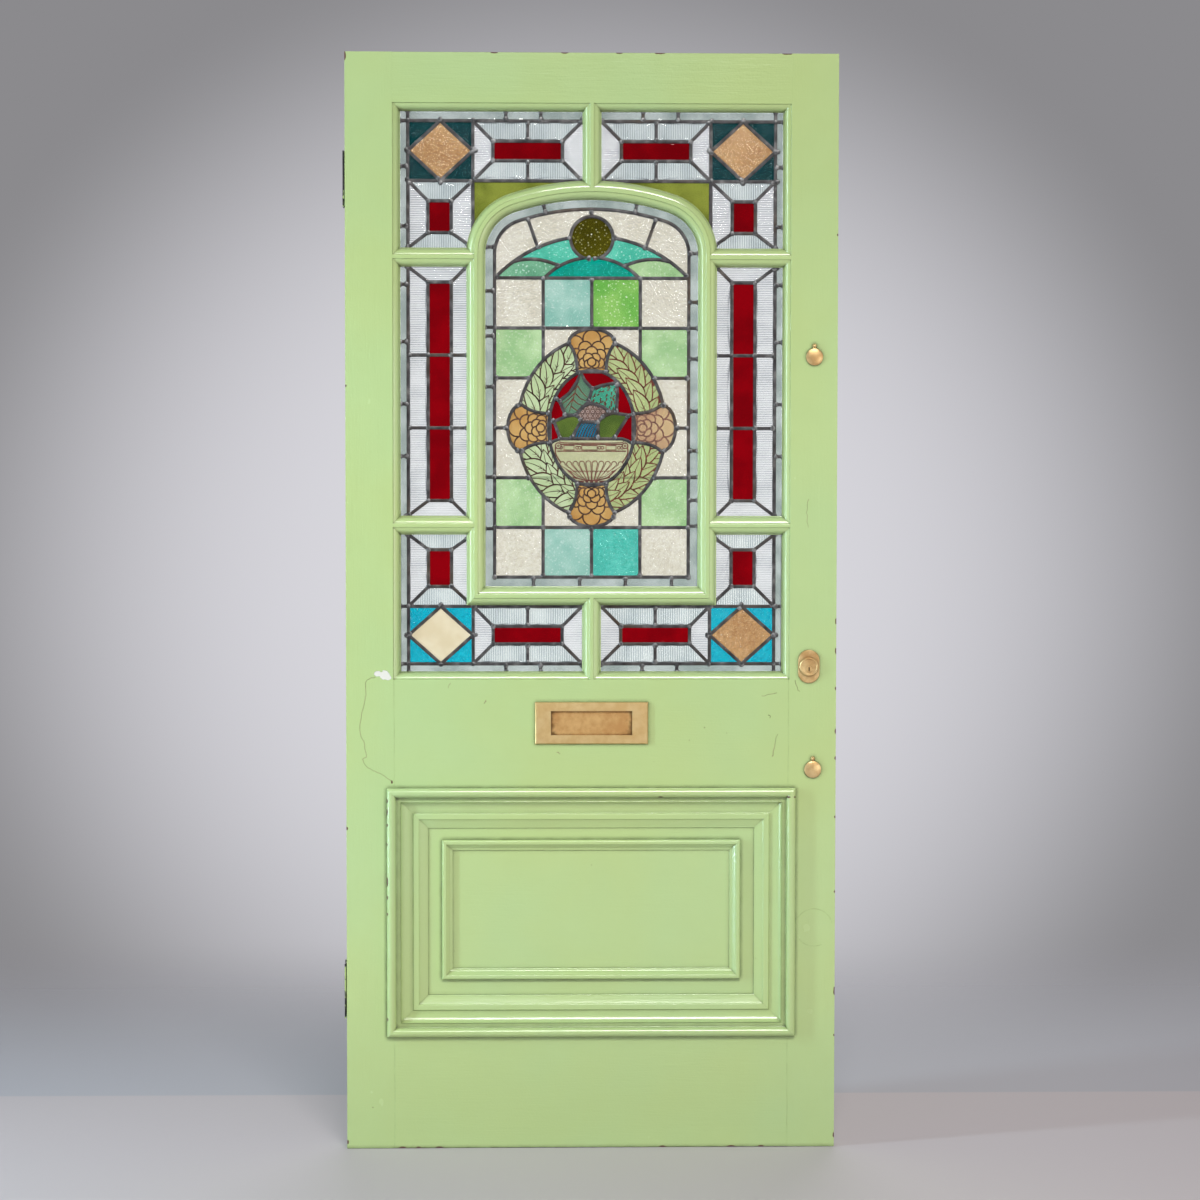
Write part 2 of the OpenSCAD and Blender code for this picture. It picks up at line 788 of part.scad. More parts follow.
module bottom_lines(w) {
    far = sight_low - rebate_w;
    high = low_bar_z - bar_half + rebate_w;
    mid = (low_ruby[0] + low_ruby[1]) / 2;
    lines([[[side_lead_x, high], [side_lead_x, far]], [[-sight_x - rebate_w, low_lead_z], [0, low_lead_z]],
        [[corner_x, low_lead_z], [corner_x, low_corner_z]],
        [[side_lead_x, low_corner_z], [0, low_corner_z]],
        [[mid, low_ruby[2]], [mid, low_lead_z]], [[mid, low_ruby[3]], [mid, low_corner_z]]], w);
    diamond_lines(side_lead_x, corner_x, low_lead_z, low_corner_z, w);
    ruby_lines(low_ruby, corner_x, -bar_half, low_lead_z, low_corner_z, w);
    ruby_lines(low_ruby_small, side_lead_x, corner_x, low_corner_z, low_bar_z - bar_half, w);
    for (t = end_ties) let (x = corner_x + (-bar_half - corner_x) * t)
        line([x, low_lead_z], [x, far], w);
    line([-sight_x - rebate_w, low_corner_z], [side_lead_x, low_corner_z], w);
}

module side_lines(w) {
    z0 = low_bar_z + bar_half;
    z1 = high_bar_z - bar_half;
    line([side_lead_x, z0 - rebate_w], [side_lead_x, z1 + rebate_w], w);
    ruby_lines(side_ruby, side_lead_x, leg_sight_x, z0, z1, w);
    for (t = side_steps) let (z = side_ruby[2] + (side_ruby[3] - side_ruby[2]) * t)
        line([side_lead_x, z], [leg_sight_x + rebate_w, z], w);
    for (t = side_ties_side) let (z = z0 + (z1 - z0) * t)
        line([-sight_x - rebate_w, z], [side_lead_x, z], w);
}

// ---- Centre light ----
fan_r = 247;
fan_z = grid_z + grid_h - 169.5;
segment_half = grid_col - 2;
segment_rise = 38;
segment_r = (segment_half * segment_half + segment_rise * segment_rise) / (2 * segment_rise);
segment_z = grid_z + grid_h + segment_rise - segment_r;
top_roundel_r = 39.5;
top_roundel_z = grid_z + grid_h + 74;
fan_leaf_start = 146;
fan_leaf_end = 60;
fan_leaf_peak = [104, 43];
radial_x = [119, 100];
left_ties = [90, 143, 186, 248, 353, 447, 463, 530, 611];
right_ties = [95, 143, 186, 235, 308, 405, 462, 510, 600];
sill_ties = [-108, -22, 63, 149];
crown_ties = [-86, 80];
crown_tie_l = 40;

function arc_height(centre_z, r, x) = centre_z + sqrt(r * r - x * x);

fan_leaf = curve([-fan_leaf_start, arc_height(fan_z, fan_r, fan_leaf_start)],
    [-fan_leaf_peak[0], grid_z + grid_h + fan_leaf_peak[1]],
    [-fan_leaf_end, arc_height(segment_z, segment_r, fan_leaf_end)]);

// The shell at the top of the wreath, standing on the inner oval
shell_neck = 27;
shell_half = 43;
shell_tip = 50;
shell_l = 76;
shell_side = curve([shell_neck, -3], [shell_neck - 1, 30], [shell_half, shell_tip], 6);
shell = concat(shell_side,
    [for (t = [18:18:162]) [shell_half * cos(t), shell_tip + (shell_l - shell_tip) * sin(t)]],
    [for (i = [len(shell_side) - 1:-1:0]) [-shell_side[i][0], shell_side[i][1]]]);

// Fruit and leaves above the bowl, about the wreath's centre
dark_leaf = [[-20, 104], [-27, 86], [-41, 65], [-60, 50], [-54, 37], [-49, 24], [-30, 24],
    [-6, 49], [1, 73], [-13, 88]];
light_leaf = [[-6, 49], [3, 45], [21, 39], [34, 30], [46, 31], [48, 62], [47, 84], [19, 79], [1, 73]];
berries = [[-30, 24], [-21, 17], [-20, 11], [12, 11], [21, 21], [34, 30], [21, 39], [3, 45],
    [-6, 44], [-17, 39]];
left_fruit = [[-58, -20], [-37, -20], [-30, -5], [-20, 11], [-21, 17], [-30, 24], [-45, 22], [-70, 12]];
blue_fruit = [[-37, -20], [12, -20], [12, 11], [-20, 11], [-30, -5]];
right_fruit = [[12, -20], [41, -20], [69, 24], [39, 28], [21, 21], [12, 11]];
fruit_outlines = [dark_leaf, light_leaf, berries, left_fruit, blue_fruit, right_fruit];
bowl_rim = [[-84, -34], [-70, -24], [-58, -20], [57, -20], [66, -23], [84, -34]];
fruit_ties = [[[-60, 50], [-76, 62]], [[-70, 12], [-82, 18]], [[69, 24], [82, 26]],
    [[47, 84], [52, 90]]];

module about_wreath() { translate([0, wreath_z]) children(); }

module four_shells() {
    for (s = [0, 1]) {
        mirror([0, s]) translate([0, oval_r[1]]) children();
        mirror([s, 0]) rotate(90) translate([0, oval_r[0]]) children();
    }
}

module wreath_area() {
    about_wreath() {
        polygon(oval(wreath_r));
        four_shells() polygon(shell);
    }
}

module wreath_lines(w) {
    about_wreath() {
        difference() {
            ring(oval(wreath_r), w);
            four_shells() polygon(grown(shell, -w / 2));
        }
        four_shells() ring(shell, w);
        ring(oval(oval_r), w);
        intersection() {
            polygon(oval(oval_r));
            union() {
                for (f = fruit_outlines) ring(f, w);
                ribbon(bowl_rim, w);
                lines(fruit_ties, w);
            }
        }
    }
}

module grid_lines(w) {
    high = grid_z + grid_h;
    for (i = [-1:1]) line([i * grid_col, grid_z], [i * grid_col, high], w);
    for (i = [1:grid_rows]) line([-grid_x, grid_z + i * grid_step], [grid_x, grid_z + i * grid_step], w);
}

module fan_lines(w) {
    base = grid_z + grid_h;
    difference() {
        union() {
            ring_came(fan_z, fan_r, w);
            ring_came(segment_z, segment_r, w);
            line([0, base], [0, crown_z], w);
            for (m = [0, 1]) mirror([m, 0]) {
                ribbon(fan_leaf, w);
                line([-radial_x[0], arc_height(arch_z, arch_r - centre_lead_in, radial_x[0])],
                    [-radial_x[1], arc_height(fan_z, fan_r, radial_x[1])], w);
            }
        }
        box_2d(-leg_x, leg_x, fan_z - fan_r - w, base);
        translate([0, top_roundel_z]) circle(top_roundel_r);
        intersection() {
            translate([0, segment_z]) circle(segment_r - w / 2);
            box_2d(-leg_x, leg_x, base, door_h);
        }
    }
    difference() {
        ring_came(top_roundel_z, top_roundel_r, w);
        translate([0, segment_z]) circle(segment_r);
    }
}

module top_roundel_area() {
    difference() {
        translate([0, top_roundel_z]) circle(top_roundel_r);
        translate([0, segment_z]) circle(segment_r);
    }
}

module centre_ties(w) {
    inner = grid_x;
    outer = leg_x;
    for (t = left_ties) line([-outer, grid_z + t], [-inner, grid_z + t], w);
    for (t = right_ties) line([inner, grid_z + t], [outer, grid_z + t], w);
    for (x = sill_ties) line([x, grid_z], [x, sill_z], w);
    for (x = crown_ties) let (z = arc_height(arch_z, arch_r - centre_lead_in, x), a = asin(x / arch_r))
        line([x, z], [x + crown_tie_l * sin(a), z + crown_tie_l * cos(a)], w);
}

module centre_lines(w) {
    difference() {
        arch_area(w / 2 - centre_lead_in);
        arch_area(-w / 2 - centre_lead_in);
    }
    intersection() {
        arch_area(-centre_lead_in);
        union() {
            difference() {
                grid_lines(w);
                wreath_area();
            }
            wreath_lines(w);
            fan_lines(w);
        }
    }
    difference() {
        centre_ties(w);
        arch_area(-centre_lead_in);
    }
}

module came_lines(light, w) {
    if (light == "centre") centre_lines(w);
    if (light == "top") top_lines(w);
    if (light == "side") side_lines(w);
    if (light == "bottom") bottom_lines(w);
}

// ---- Cames and glass ----
flange_t = (came_t - glass_t) / 2;
edge_came_w = 6;
edge_came_wall = 2;

module came_layer(light, w, edge) {
    intersection() {
        light_area(light, lead_edge);
        union() {
            came_lines(light, w);
            difference() {
                light_area(light, lead_edge + 1);
                light_area(light, lead_edge - edge);
            }
        }
    }
}

module cames(light) {
    color("dimgray") {
        between(lead_front_y, lead_front_y + flange_t) came_layer(light, came_w, edge_came_w);
        between(lead_front_y + flange_t, lead_front_y + flange_t + glass_t)
            came_layer(light, heart_w, edge_came_wall);
        between(lead_front_y + came_t - flange_t, lead_front_y + came_t)
            came_layer(light, came_w, edge_came_w);
    }
}

module cames_centre() { cames("centre"); }
module cames_top_left() { cames("top"); }
module cames_top_right() { mirror([1, 0, 0]) cames("top"); }
module cames_side_left() { cames("side"); }
module cames_side_right() { mirror([1, 0, 0]) cames("side"); }
module cames_bottom_left() { cames("bottom"); }
module cames_bottom_right() { mirror([1, 0, 0]) cames("bottom"); }

// The panes of one light that lie in the outline drawn by its child
module panes(light) {
    between(lead_front_y + flange_t, lead_front_y + flange_t + glass_t) intersection() {
        difference() {
            light_area(light, lead_edge - edge_came_wall - glass_gap);
            came_lines(light, heart_w + 2 * glass_gap);
        }
        children();
    }
}

module both_sides() { for (m = [0, 1]) mirror([m, 0, 0]) children(); }

module above_grid() { box_2d(-leg_x, leg_x, grid_z + grid_h, door_h); }

module segment_area() {
    intersection() {
        translate([0, segment_z]) circle(segment_r);
        above_grid();
    }
}

module fan_area() {
    intersection() {
        translate([0, fan_z]) circle(fan_r);
        above_grid();
        arch_area(-centre_lead_in);
    }
}

module fan_leaf_area() {
    difference() {
        intersection() {
            fan_area();
            for (m = [0, 1]) mirror([m, 0]) polygon(concat([[-leg_x, grid_z + grid_h - 1],
                [-leg_x, fan_leaf[0][1]]], fan_leaf, [[-fan_leaf_end, grid_z + grid_h - 1]]));
        }
        segment_area();
    }
}

// A square of the centre light, counted from the left and from the bottom
module cell(column, row) {
    translate([-grid_x + column * grid_col, grid_z + row * grid_step]) square([grid_col, grid_step]);
}

module cells(places) {
    difference() {
        for (p = places) cell(p[0], p[1]);
        wreath_area();
    }
}

green_cells = [[0, 1], [3, 1], [0, 4], [3, 4], [2, 5]];
turquoise_cells = [[1, 0], [1, 5]];
teal_cells = [[2, 0]];
cathedral_cells = [[0, 0], [3, 0], [0, 5], [3, 5], [1, 1], [2, 1], [1, 4], [2, 4],
    [0, 2], [1, 2], [2, 2], [3, 2], [0, 3], [1, 3], [2, 3], [3, 3]];

module glass_ruby() {
    color("darkred") {
        both_sides() {
            panes("top") {
                ruby_box(top_ruby);
                ruby_box(top_ruby_small);
            }
            panes("side") ruby_box(side_ruby);
            panes("bottom") {
                ruby_box(low_ruby);
                ruby_box(low_ruby_small);
            }
        }
        panes("centre") about_wreath() difference() {
            polygon(oval(oval_r));
            for (f = fruit_outlines) polygon(f);
            bowl_outline();
            four_shells() polygon(shell);
        }
    }
}

module bowl_outline() {
    polygon(concat([[-wreath_r[0], bowl_rim[0][1]]], bowl_rim, [[wreath_r[0], bowl_rim[5][1]],
        [wreath_r[0], -wreath_r[1]], [-wreath_r[0], -wreath_r[1]]]));
}

module glass_bowl() {
    color("tan") panes("centre") about_wreath() difference() {
        intersection() {
            polygon(oval(oval_r));
            bowl_outline();
        }
        four_shells() polygon(shell);
    }
}

module glass_flowers() {
    color("seagreen") panes("centre") about_wreath()
        for (f = [dark_leaf, light_leaf, berries, blue_fruit]) polygon(f);
}

module glass_shells() {
    color("peru") panes("centre") about_wreath() difference() {
        four_shells() polygon(shell);
        polygon(oval(oval_r));
    }
}

module glass_laurel() {
    color("darkseagreen") panes("centre") about_wreath() difference() {
        polygon(oval(wreath_r));
        polygon(oval(oval_r));
        four_shells() polygon(shell);
    }
}

module corner_boxes(light) {
    if (light == "top") box_2d(side_lead_x, corner_x, top_corner_z, top_lead_z);
    if (light == "bottom") box_2d(side_lead_x, corner_x, low_lead_z, low_corner_z);
}

module corner_diamond(light) {
    if (light == "top") polygon(diamond(side_lead_x, corner_x, top_corner_z, top_lead_z));
    if (light == "bottom") polygon(diamond(side_lead_x, corner_x, low_lead_z, low_corner_z));
}

module glass_teal() {
    color("teal") {
        both_sides() for (light = ["top", "bottom"]) panes(light) difference() {
            corner_boxes(light);
            corner_diamond(light);
        }
        panes("centre") {
            segment_area();
            cells(teal_cells);
        }
    }
}

module glass_amber() {
    color("burlywood") both_sides() for (light = ["top", "bottom"]) panes(light) corner_diamond(light);
}

module spandrel_area() { box_2d(corner_x, 0, high_sight_z - rebate_w, top_corner_z); }

module glass_olive() {
    color("olive") {
        both_sides() panes("top") spandrel_area();
        panes("centre") {
            top_roundel_area();
            about_wreath() for (f = [left_fruit, right_fruit]) polygon(f);
        }
    }
}

module border_area(light) {
    if (light == "centre") difference() {
        arch_area(0);
        arch_area(-centre_lead_in);
    }
    if (light != "centre") box_2d(-half_w, side_lead_x, 0, door_h);
    if (light == "top") box_2d(-half_w, 0, top_lead_z, door_h);
    if (light == "bottom") box_2d(-half_w, 0, 0, low_lead_z);
}

module glass_border() {
    color("lightsteelblue") {
        panes("centre") border_area("centre");
        both_sides() for (light = ["top", "side", "bottom"]) panes(light) border_area(light);
    }
}

module glass_reeded() {
    color("gainsboro") both_sides() for (light = ["top", "side", "bottom"]) panes(light) difference() {
        box_2d(-half_w, 0, 0, door_h);
        border_area(light);
        corner_boxes(light);
        if (light == "top") {
            ruby_box(top_ruby);
            ruby_box(top_ruby_small);
            spandrel_area();
        }
        if (light == "side") ruby_box(side_ruby);
        if (light == "bottom") {
            ruby_box(low_ruby);
            ruby_box(low_ruby_small);
        }
    }
}

module glass_cathedral() {
    color("linen") panes("centre") {
        cells(cathedral_cells);
        difference() {
            intersection() {
                above_grid();
                arch_area(-centre_lead_in);
            }
            fan_area();
            translate([0, top_roundel_z]) circle(top_roundel_r);
        }
    }
}

module glass_green() {
    color("palegreen") panes("centre") {
        cells(green_cells);
        fan_leaf_area();
    }
}

module glass_turquoise() {
    color("mediumaquamarine") panes("centre") {
        cells(turquoise_cells);
        difference() {
            fan_area();
            fan_leaf_area();
            segment_area();
            translate([0, top_roundel_z]) circle(top_roundel_r);
        }
    }
}

// The bar that stiffens the centre light lies against the back of its leading
saddle_t = 5;

module saddle_bar_block() {
    reach = leg_x - bar_half + rebate_w - 1;
    translate([-reach, bead_y, grid_z + 2 * grid_step - saddle_t / 2])
        cube([2 * reach, saddle_t, saddle_t]);
}

module saddle_bar() { color(steel) saddle_bar_block(); }

// ---- Hinges ----
pin_clear = 0.08;
knuckle_gap = 0.2;
knuckle_l = hinge_h / knuckles;

// The barrels of one leaf, with the web that joins each to the plate
module barrels(z, which, web_x) {
    for (i = [which:2:knuckles - 1]) translate([0, 0, z - hinge_h / 2 + i * knuckle_l + knuckle_gap / 2]) {
        translate([hinge_x, hinge_y, 0]) cylinder(r = knuckle_r, h = knuckle_l - knuckle_gap);
        translate([web_x, face_y - tiny, 0])
            cube([hinge_leaf_t, hinge_y - face_y, knuckle_l - knuckle_gap]);
    }
}

module pin_bore(z) {
    translate([hinge_x, hinge_y, z - hinge_h / 2 - 1]) cylinder(r = pin_r + pin_clear, h = hinge_h + 2);
}

module hinge_door_leaves() {
    color(steel) difference() {
        union() {
            hinge_leaf_block(-half_w);
            for (z = hinge_zs) barrels(z, 1, -half_w);
        }
        for (z = hinge_zs) pin_bore(z);
        for (p = hinge_hole_places) translate([-half_w, p[0], p[1]])
            countersunk(hinge_head_r + 0.1, hinge_screw_r + 0.1, hinge_screw_l);
    }
}

frame_leaf_x = -half_w - hinge_gap - hinge_leaf_t;

module hinge_frame_leaves() {
    color(steel) difference() {
        union() {
            hinge_leaf_block(frame_leaf_x);
            for (z = hinge_zs) barrels(z, 0, frame_leaf_x);
        }
        for (z = hinge_zs) pin_bore(z);
        for (p = hinge_hole_places) translate([frame_leaf_x - 1, p[0], p[1]]) rotate([0, 90, 0]) {
            cylinder(r = hinge_hole_r, h = hinge_leaf_t + 2);
            translate([0, 0, 2.2]) cylinder(r1 = hinge_hole_r, r2 = hinge_head_r, h = hinge_leaf_t - 1.2);
        }
    }
}

module hinge_pins() {
    head_h = 2.5;
    color(steel) for (z = hinge_zs) translate([hinge_x, hinge_y, z - hinge_h / 2]) {
        cylinder(r = pin_r, h = hinge_h);
        translate([0, 0, hinge_h]) cylinder(r = knuckle_r - 0.5, h = head_h);
    }
}

module hinge_screws() {
    color(steel) for (p = hinge_hole_places) translate([-half_w, p[0], p[1]])
        countersunk(hinge_head_r, hinge_screw_r, hinge_screw_l);
}

// ---- Letter plate ----
slot_w = letter_w + 14;
slot_low = letter_z - letter_h / 2 - 6;
slot_high = rod_z + 5;
stud_x = plate_w / 2 - 12;
stud_r = 2.5;
lug_w = 5;
lug_x = letter_w / 2 - lug_w;
rod_half = letter_w / 2 + 2;
spring_coils = 8;
spring_wire_r = 0.6;

module letter_slot() {
    translate([-slot_w / 2, -face_y - 1, slot_low]) cube([slot_w, leaf_t + 2, slot_high - slot_low]);
}

module letter_stud_holes() {
    for (s = [-1, 1]) translate([s * stud_x, -face_y - 1, letter_z]) rotate([-90, 0, 0])
        cylinder(r = stud_r + 0.3, h = leaf_t + 2);
}

// A plate with its four edges bevelled to the front, about its centre, standing on y = 0
module bevelled_plate(w, h, t, bevel) {
    intersection() {
        translate([0, 0, -h / 2]) linear_extrude(h) polygon([[-w / 2, 0], [w / 2, 0],
            [w / 2, -t + bevel], [w / 2 - bevel, -t], [-w / 2 + bevel, -t], [-w / 2, -t + bevel]]);
        rotate([90, 0, 90]) translate([0, 0, -w / 2]) linear_extrude(w) polygon([[0, -h / 2],
            [0, h / 2], [-t + bevel, h / 2], [-t, h / 2 - bevel], [-t, -h / 2 + bevel],
            [-t + bevel, -h / 2]]);
    }
}

module letter_plate() {
    color(brass) {
        difference() {
            union() {
                translate([0, -face_y, letter_z]) bevelled_plate(plate_w, plate_h, plate_t, 2);
                for (s = [-1, 1]) translate([s * (lug_x + lug_w / 2) - lug_w / 2, 0, 0]) rod_lug();
            }
            translate([-letter_w / 2, -face_y - plate_t - 1, letter_z - letter_h / 2])
                cube([letter_w, plate_t + 1, letter_h]);
            rod_bore(rod_r + 0.03);
            for (s = [-1, 1]) translate([s * stud_x, -face_y - plate_t + 2, letter_z])
                rotate([-90, 0, 0]) cylinder(r = stud_r + 0.02, h = plate_t);
        }
    }
}

// A lug for the rod, round at its back so that the flap's top edge swings clear of it
module rod_lug() {
    lug_r = rod_r + 2;
    translate([0, -face_y - tiny, rod_z - lug_r]) cube([lug_w, rod_y + face_y, 2 * lug_r]);
    translate([0, rod_y, rod_z]) rotate([0, 90, 0]) cylinder(r = lug_r, h = lug_w);
}

module rod_bore(r) {
    translate([-rod_half - 1, rod_y, rod_z]) rotate([0, 90, 0]) cylinder(r = r, h = 2 * rod_half + 2);
}

module flap_rod() {
    color(steel) translate([-rod_half, rod_y, rod_z]) rotate([0, 90, 0])
        cylinder(r = rod_r, h = 2 * rod_half);
}

flap_knuckle_l = 12;
flap_knuckle_x = [-lug_x + 1, lug_x - 1 - flap_knuckle_l];
flap_half = letter_w / 2 + flap_lap;
flap_y = -face_y + 0.3;

module letter_flap() {
    low = letter_z - letter_h / 2 - flap_lap;
    high = rod_z - rod_r - 2.5;
    color(brass) difference() {
        union() {
            translate([-flap_half, flap_y, low]) cube([2 * flap_half, flap_t, high - low]);
            for (x = flap_knuckle_x) {
                translate([x, rod_y, rod_z]) rotate([0, 90, 0])
                    cylinder(r = rod_r + 1.6, h = flap_knuckle_l);
                translate([x, flap_y, high - 1]) cube([flap_knuckle_l, flap_t, rod_z - high + 1]);
            }
        }
        rod_bore(rod_r + 0.08);
    }
}

module flap_springs() {
    coil_r = rod_r + 0.1 + spring_wire_r;
    x0 = flap_knuckle_x[0] + flap_knuckle_l + 0.5;
    color(steel) for (m = [0, 1]) mirror([m, 0, 0]) translate([x0, rod_y, rod_z]) rotate([0, 90, 0]) {
        rotate_extrude() {
            for (i = [0:spring_coils - 1]) translate([coil_r, spring_wire_r * (1 + 1.8 * i)])
                circle(spring_wire_r);
            translate([coil_r - spring_wire_r / 2, spring_wire_r])
                square([spring_wire_r, 1.8 * spring_wire_r * (spring_coils - 1)]);
        }
    }
}

module letter_bolts() {
    nut_t = 4;
    color(brass) for (s = [-1, 1]) translate([s * stud_x, -face_y - plate_t + 2, letter_z])
        rotate([-90, 0, 0]) {
            cylinder(r = stud_r, h = leaf_t + plate_t - 2 + nut_t);
            translate([0, 0, leaf_t + plate_t - 2]) cylinder(r = 8, h = nut_t);
        }
}

// ---- Key covers ----
key_plate_t = 1.5;
key_plate_r = 13;
cover_gap = 0.3;
pivot_r = 1.5;
cover_y = -face_y - key_plate_t - cover_gap;
keyhole_r = 3;
keyhole_l = 9;

module keyhole(y0, y1) {
    between(y0, y1) {
        circle(keyhole_r);
        translate([-1.5, -keyhole_l]) square([3, keyhole_l]);
    }
}

module key_plate() {
    difference() {
        between(-face_y - key_plate_t, -face_y) {
            circle(key_plate_r);
            translate([0, cover_arm]) circle(4);
            translate([-3, 0]) square([6, cover_arm]);
        }
        keyhole(-face_y - key_plate_t - 1, -face_y + 1);
        translate([0, -face_y + 1, cover_arm]) rotate([90, 0, 0])
            cylinder(r = pivot_r + 0.05, h = key_plate_t + 2);
    }
}

module key_plates() { color(brass) for (z = key_zs) translate([key_x, 0, z]) key_plate(); }

module key_cover(z) {
    color(brass) difference() {
        union() {
            translate([key_x, cover_y, z]) rotate([90, 0, 0]) rotate_extrude()
                polygon([[0, 0], [cover_r, 0], [cover_r, cover_t - 1.4], [cover_r - 3.2, cover_t],
                    [0, cover_t]]);
            translate([key_x, 0, z]) between(cover_y - 1.1, cover_y) {
                translate([0, cover_arm]) circle(3.6);
                translate([-2.6, 0]) square([5.2, cover_arm]);
            }
        }
        translate([key_x, cover_y + 1, z + cover_arm]) rotate([90, 0, 0])
            cylinder(r = pivot_r + 0.08, h = cover_t + 3);
    }
}

module key_cover_upper() { key_cover(upper_key_z); }
module key_cover_lower() { key_cover(lower_key_z); }

pivot_depth = 12;

module cover_pivots() {
    bead_r = 3.8;
    bead_y = cover_y - 1.1 - cover_gap;
    color(brass) for (z = key_zs) translate([key_x, 0, z + cover_arm]) {
        translate([0, -face_y + pivot_depth, 0]) rotate([90, 0, 0])
            cylinder(r = pivot_r, h = pivot_depth - face_y - bead_y);
        translate([0, bead_y, 0]) rotate([90, 0, 0]) rotate_extrude() intersection() {
            circle(bead_r);
            square(bead_r);
        }
    }
}

// ---- Mortice locks ----
case_wall = 1.5;
forend_w = 22;
forend_l = 124;
bolt_t = 10;
bolt_l = 22;
tail_t = 4;
tail_l = 30;
bolt_clear = 0.2;
case_back = half_w - forend_t - case_d;
post_r = 2;
post_x = case_back + 10;
post_z = -24;

module lock_mortice(z) {
    translate([case_back, -case_t / 2, z - case_h / 2]) cube([case_d + forend_t, case_t, case_h]);
    translate([half_w - forend_t, -forend_w / 2, z - forend_l / 2]) cube([forend_t, forend_w, forend_l]);
    translate([key_x, 0, z]) keyhole(-face_y - 1, face_y + 1);
    translate([key_x, -face_y + pivot_depth, z + cover_arm]) rotate([90, 0, 0])
        cylinder(r = pivot_r + 0.05, h = pivot_depth + 1);
}

module lock_case(z) {
    translate([0, 0, z]) {
        difference() {
            union() {
                translate([case_back, -case_t / 2, -case_h / 2]) cube([case_d + tiny, case_t, case_h]);
                translate([half_w - forend_t, -forend_w / 2, -forend_l / 2])
                    cube([forend_t, forend_w, forend_l]);
            }
            translate([case_back + case_wall, -case_t / 2 + case_wall, -case_h / 2 + case_wall])
                cube([case_d - 2 * case_wall, case_t - 2 * case_wall, case_h - 2 * case_wall]);
            translate([half_w - forend_t - 2 * case_wall, -bolt_t / 2 - bolt_clear,
                -bolt_h / 2 - bolt_clear + bolt_up])
                cube([forend_t + 3 * case_wall, bolt_t + 2 * bolt_clear, bolt_h + 2 * bolt_clear]);
            translate([key_x, 0, 0]) keyhole(-case_t, case_t);
        }
        translate([post_x, case_t / 2 - case_wall / 2, post_z]) rotate([90, 0, 0])
            cylinder(r = post_r, h = case_t - case_wall);
    }
}

bolt_up = 16;

module lock_cases() { color(steel) for (z = key_zs) lock_case(z); }

// The bolt is drawn back, with its head flush with the forend
module lock_bolt(z) {
    color(brass) translate([0, 0, z + bolt_up]) {
        translate([half_w - bolt_l, -bolt_t / 2, -bolt_h / 2]) cube([bolt_l, bolt_t, bolt_h]);
        translate([half_w - bolt_l - tail_l, -bolt_t / 2, -bolt_h / 2])
            cube([tail_l + tiny, tail_t, bolt_h - 4]);
    }
}

module lock_bolt_upper() { lock_bolt(upper_key_z); }
module lock_bolt_lower() { lock_bolt(lower_key_z); }

// ---- Cylinder and its pull ----
cylinder_r = 15.5;
cylinder_rim_r = 17.8;
plug_r = 6.5;
plug_clear = 0.05;
pull_t = 3;
rim_t = 4.5;
back_plate_t = 2;
back_screw_x = 10.8;
back_screw_r = 2;
back_screw_l = 22;
plug_drop = 4.5;
tail_bar_l = 24;

module cylinder_hole() {
    translate([cylinder_x, face_y + 1, cylinder_z]) rotate([90, 0, 0])
        cylinder(r = cylinder_r + 0.5, h = leaf_t + 2);
}

module pull_outline(grow) {
    step = (pull_h - pull_w) / 2;
    for (s = [-1, 1]) translate([0, s * step]) circle(pull_w / 2 + grow);
    translate([-pull_w / 2 - grow, -step]) square([pull_w + 2 * grow, 2 * step]);
}

module cylinder_pull() {
    color(brass) translate([cylinder_x, 0, cylinder_z]) difference() {
        union() {
            between(-face_y - pull_t + 1, -face_y) pull_outline(0);
            between(-face_y - pull_t, -face_y - pull_t + 1 + tiny) pull_outline(-1.2);
        }
        translate([0, 1, 0]) rotate([90, 0, 0]) cylinder(r = cylinder_r + 0.3, h = 3 * leaf_t);
    }
}

module cylinder_body() {
    front = -face_y - pull_t;
    back = face_y - 1;
    color(brass) translate([cylinder_x, 0, cylinder_z]) difference() {
        union() {
            translate([0, back, 0]) rotate([90, 0, 0]) cylinder(r = cylinder_r, h = back - front + 1);
            translate([0, front, 0]) rotate([90, 0, 0]) rotate_extrude()
                polygon([[0, 0], [cylinder_rim_r, 0], [cylinder_rim_r, rim_t - 1.5],
                    [cylinder_rim_r - 1.5, rim_t], [cylinder_rim_r - 3.5, rim_t],
                    [cylinder_rim_r - 4.5, rim_t - 1], [0, rim_t - 1]]);
        }
        translate([0, back + 1, -plug_drop]) rotate([90, 0, 0])
            cylinder(r = plug_r + plug_clear, h = 3 * leaf_t);
        for (s = [-1, 1]) translate([s * back_screw_x, back + 1, 0]) rotate([90, 0, 0])
            cylinder(r = back_screw_r + 0.05, h = back_screw_l - 2);
    }
}

module cylinder_plug() {
    front = -face_y - pull_t - rim_t + 1;
    plug_l = leaf_t + pull_t + rim_t - 5;
    color(brass) translate([cylinder_x, 0, cylinder_z - plug_drop]) {
        difference() {
            translate([0, front + plug_l, 0]) rotate([90, 0, 0]) cylinder(r = plug_r, h = plug_l);
            translate([-0.9, front - 1, -4.5]) cube([1.8, 24, 8]);
        }
        translate([-3, front + plug_l - tiny, -1]) cube([6, tail_bar_l, 2]);
    }
}

module cylinder_back_plate() {
    color(steel) translate([cylinder_x, 0, cylinder_z]) difference() {
        between(face_y, face_y + back_plate_t) pull_outline(-2);
        translate([0, face_y + back_plate_t + 1, -plug_drop]) rotate([90, 0, 0])
            cylinder(r = 5, h = back_plate_t + 2);
        for (s = [-1, 1]) translate([s * back_screw_x, face_y + back_plate_t + 1, 0])
            rotate([90, 0, 0]) cylinder(r = back_screw_r + 0.1, h = back_plate_t + 2);
    }
}

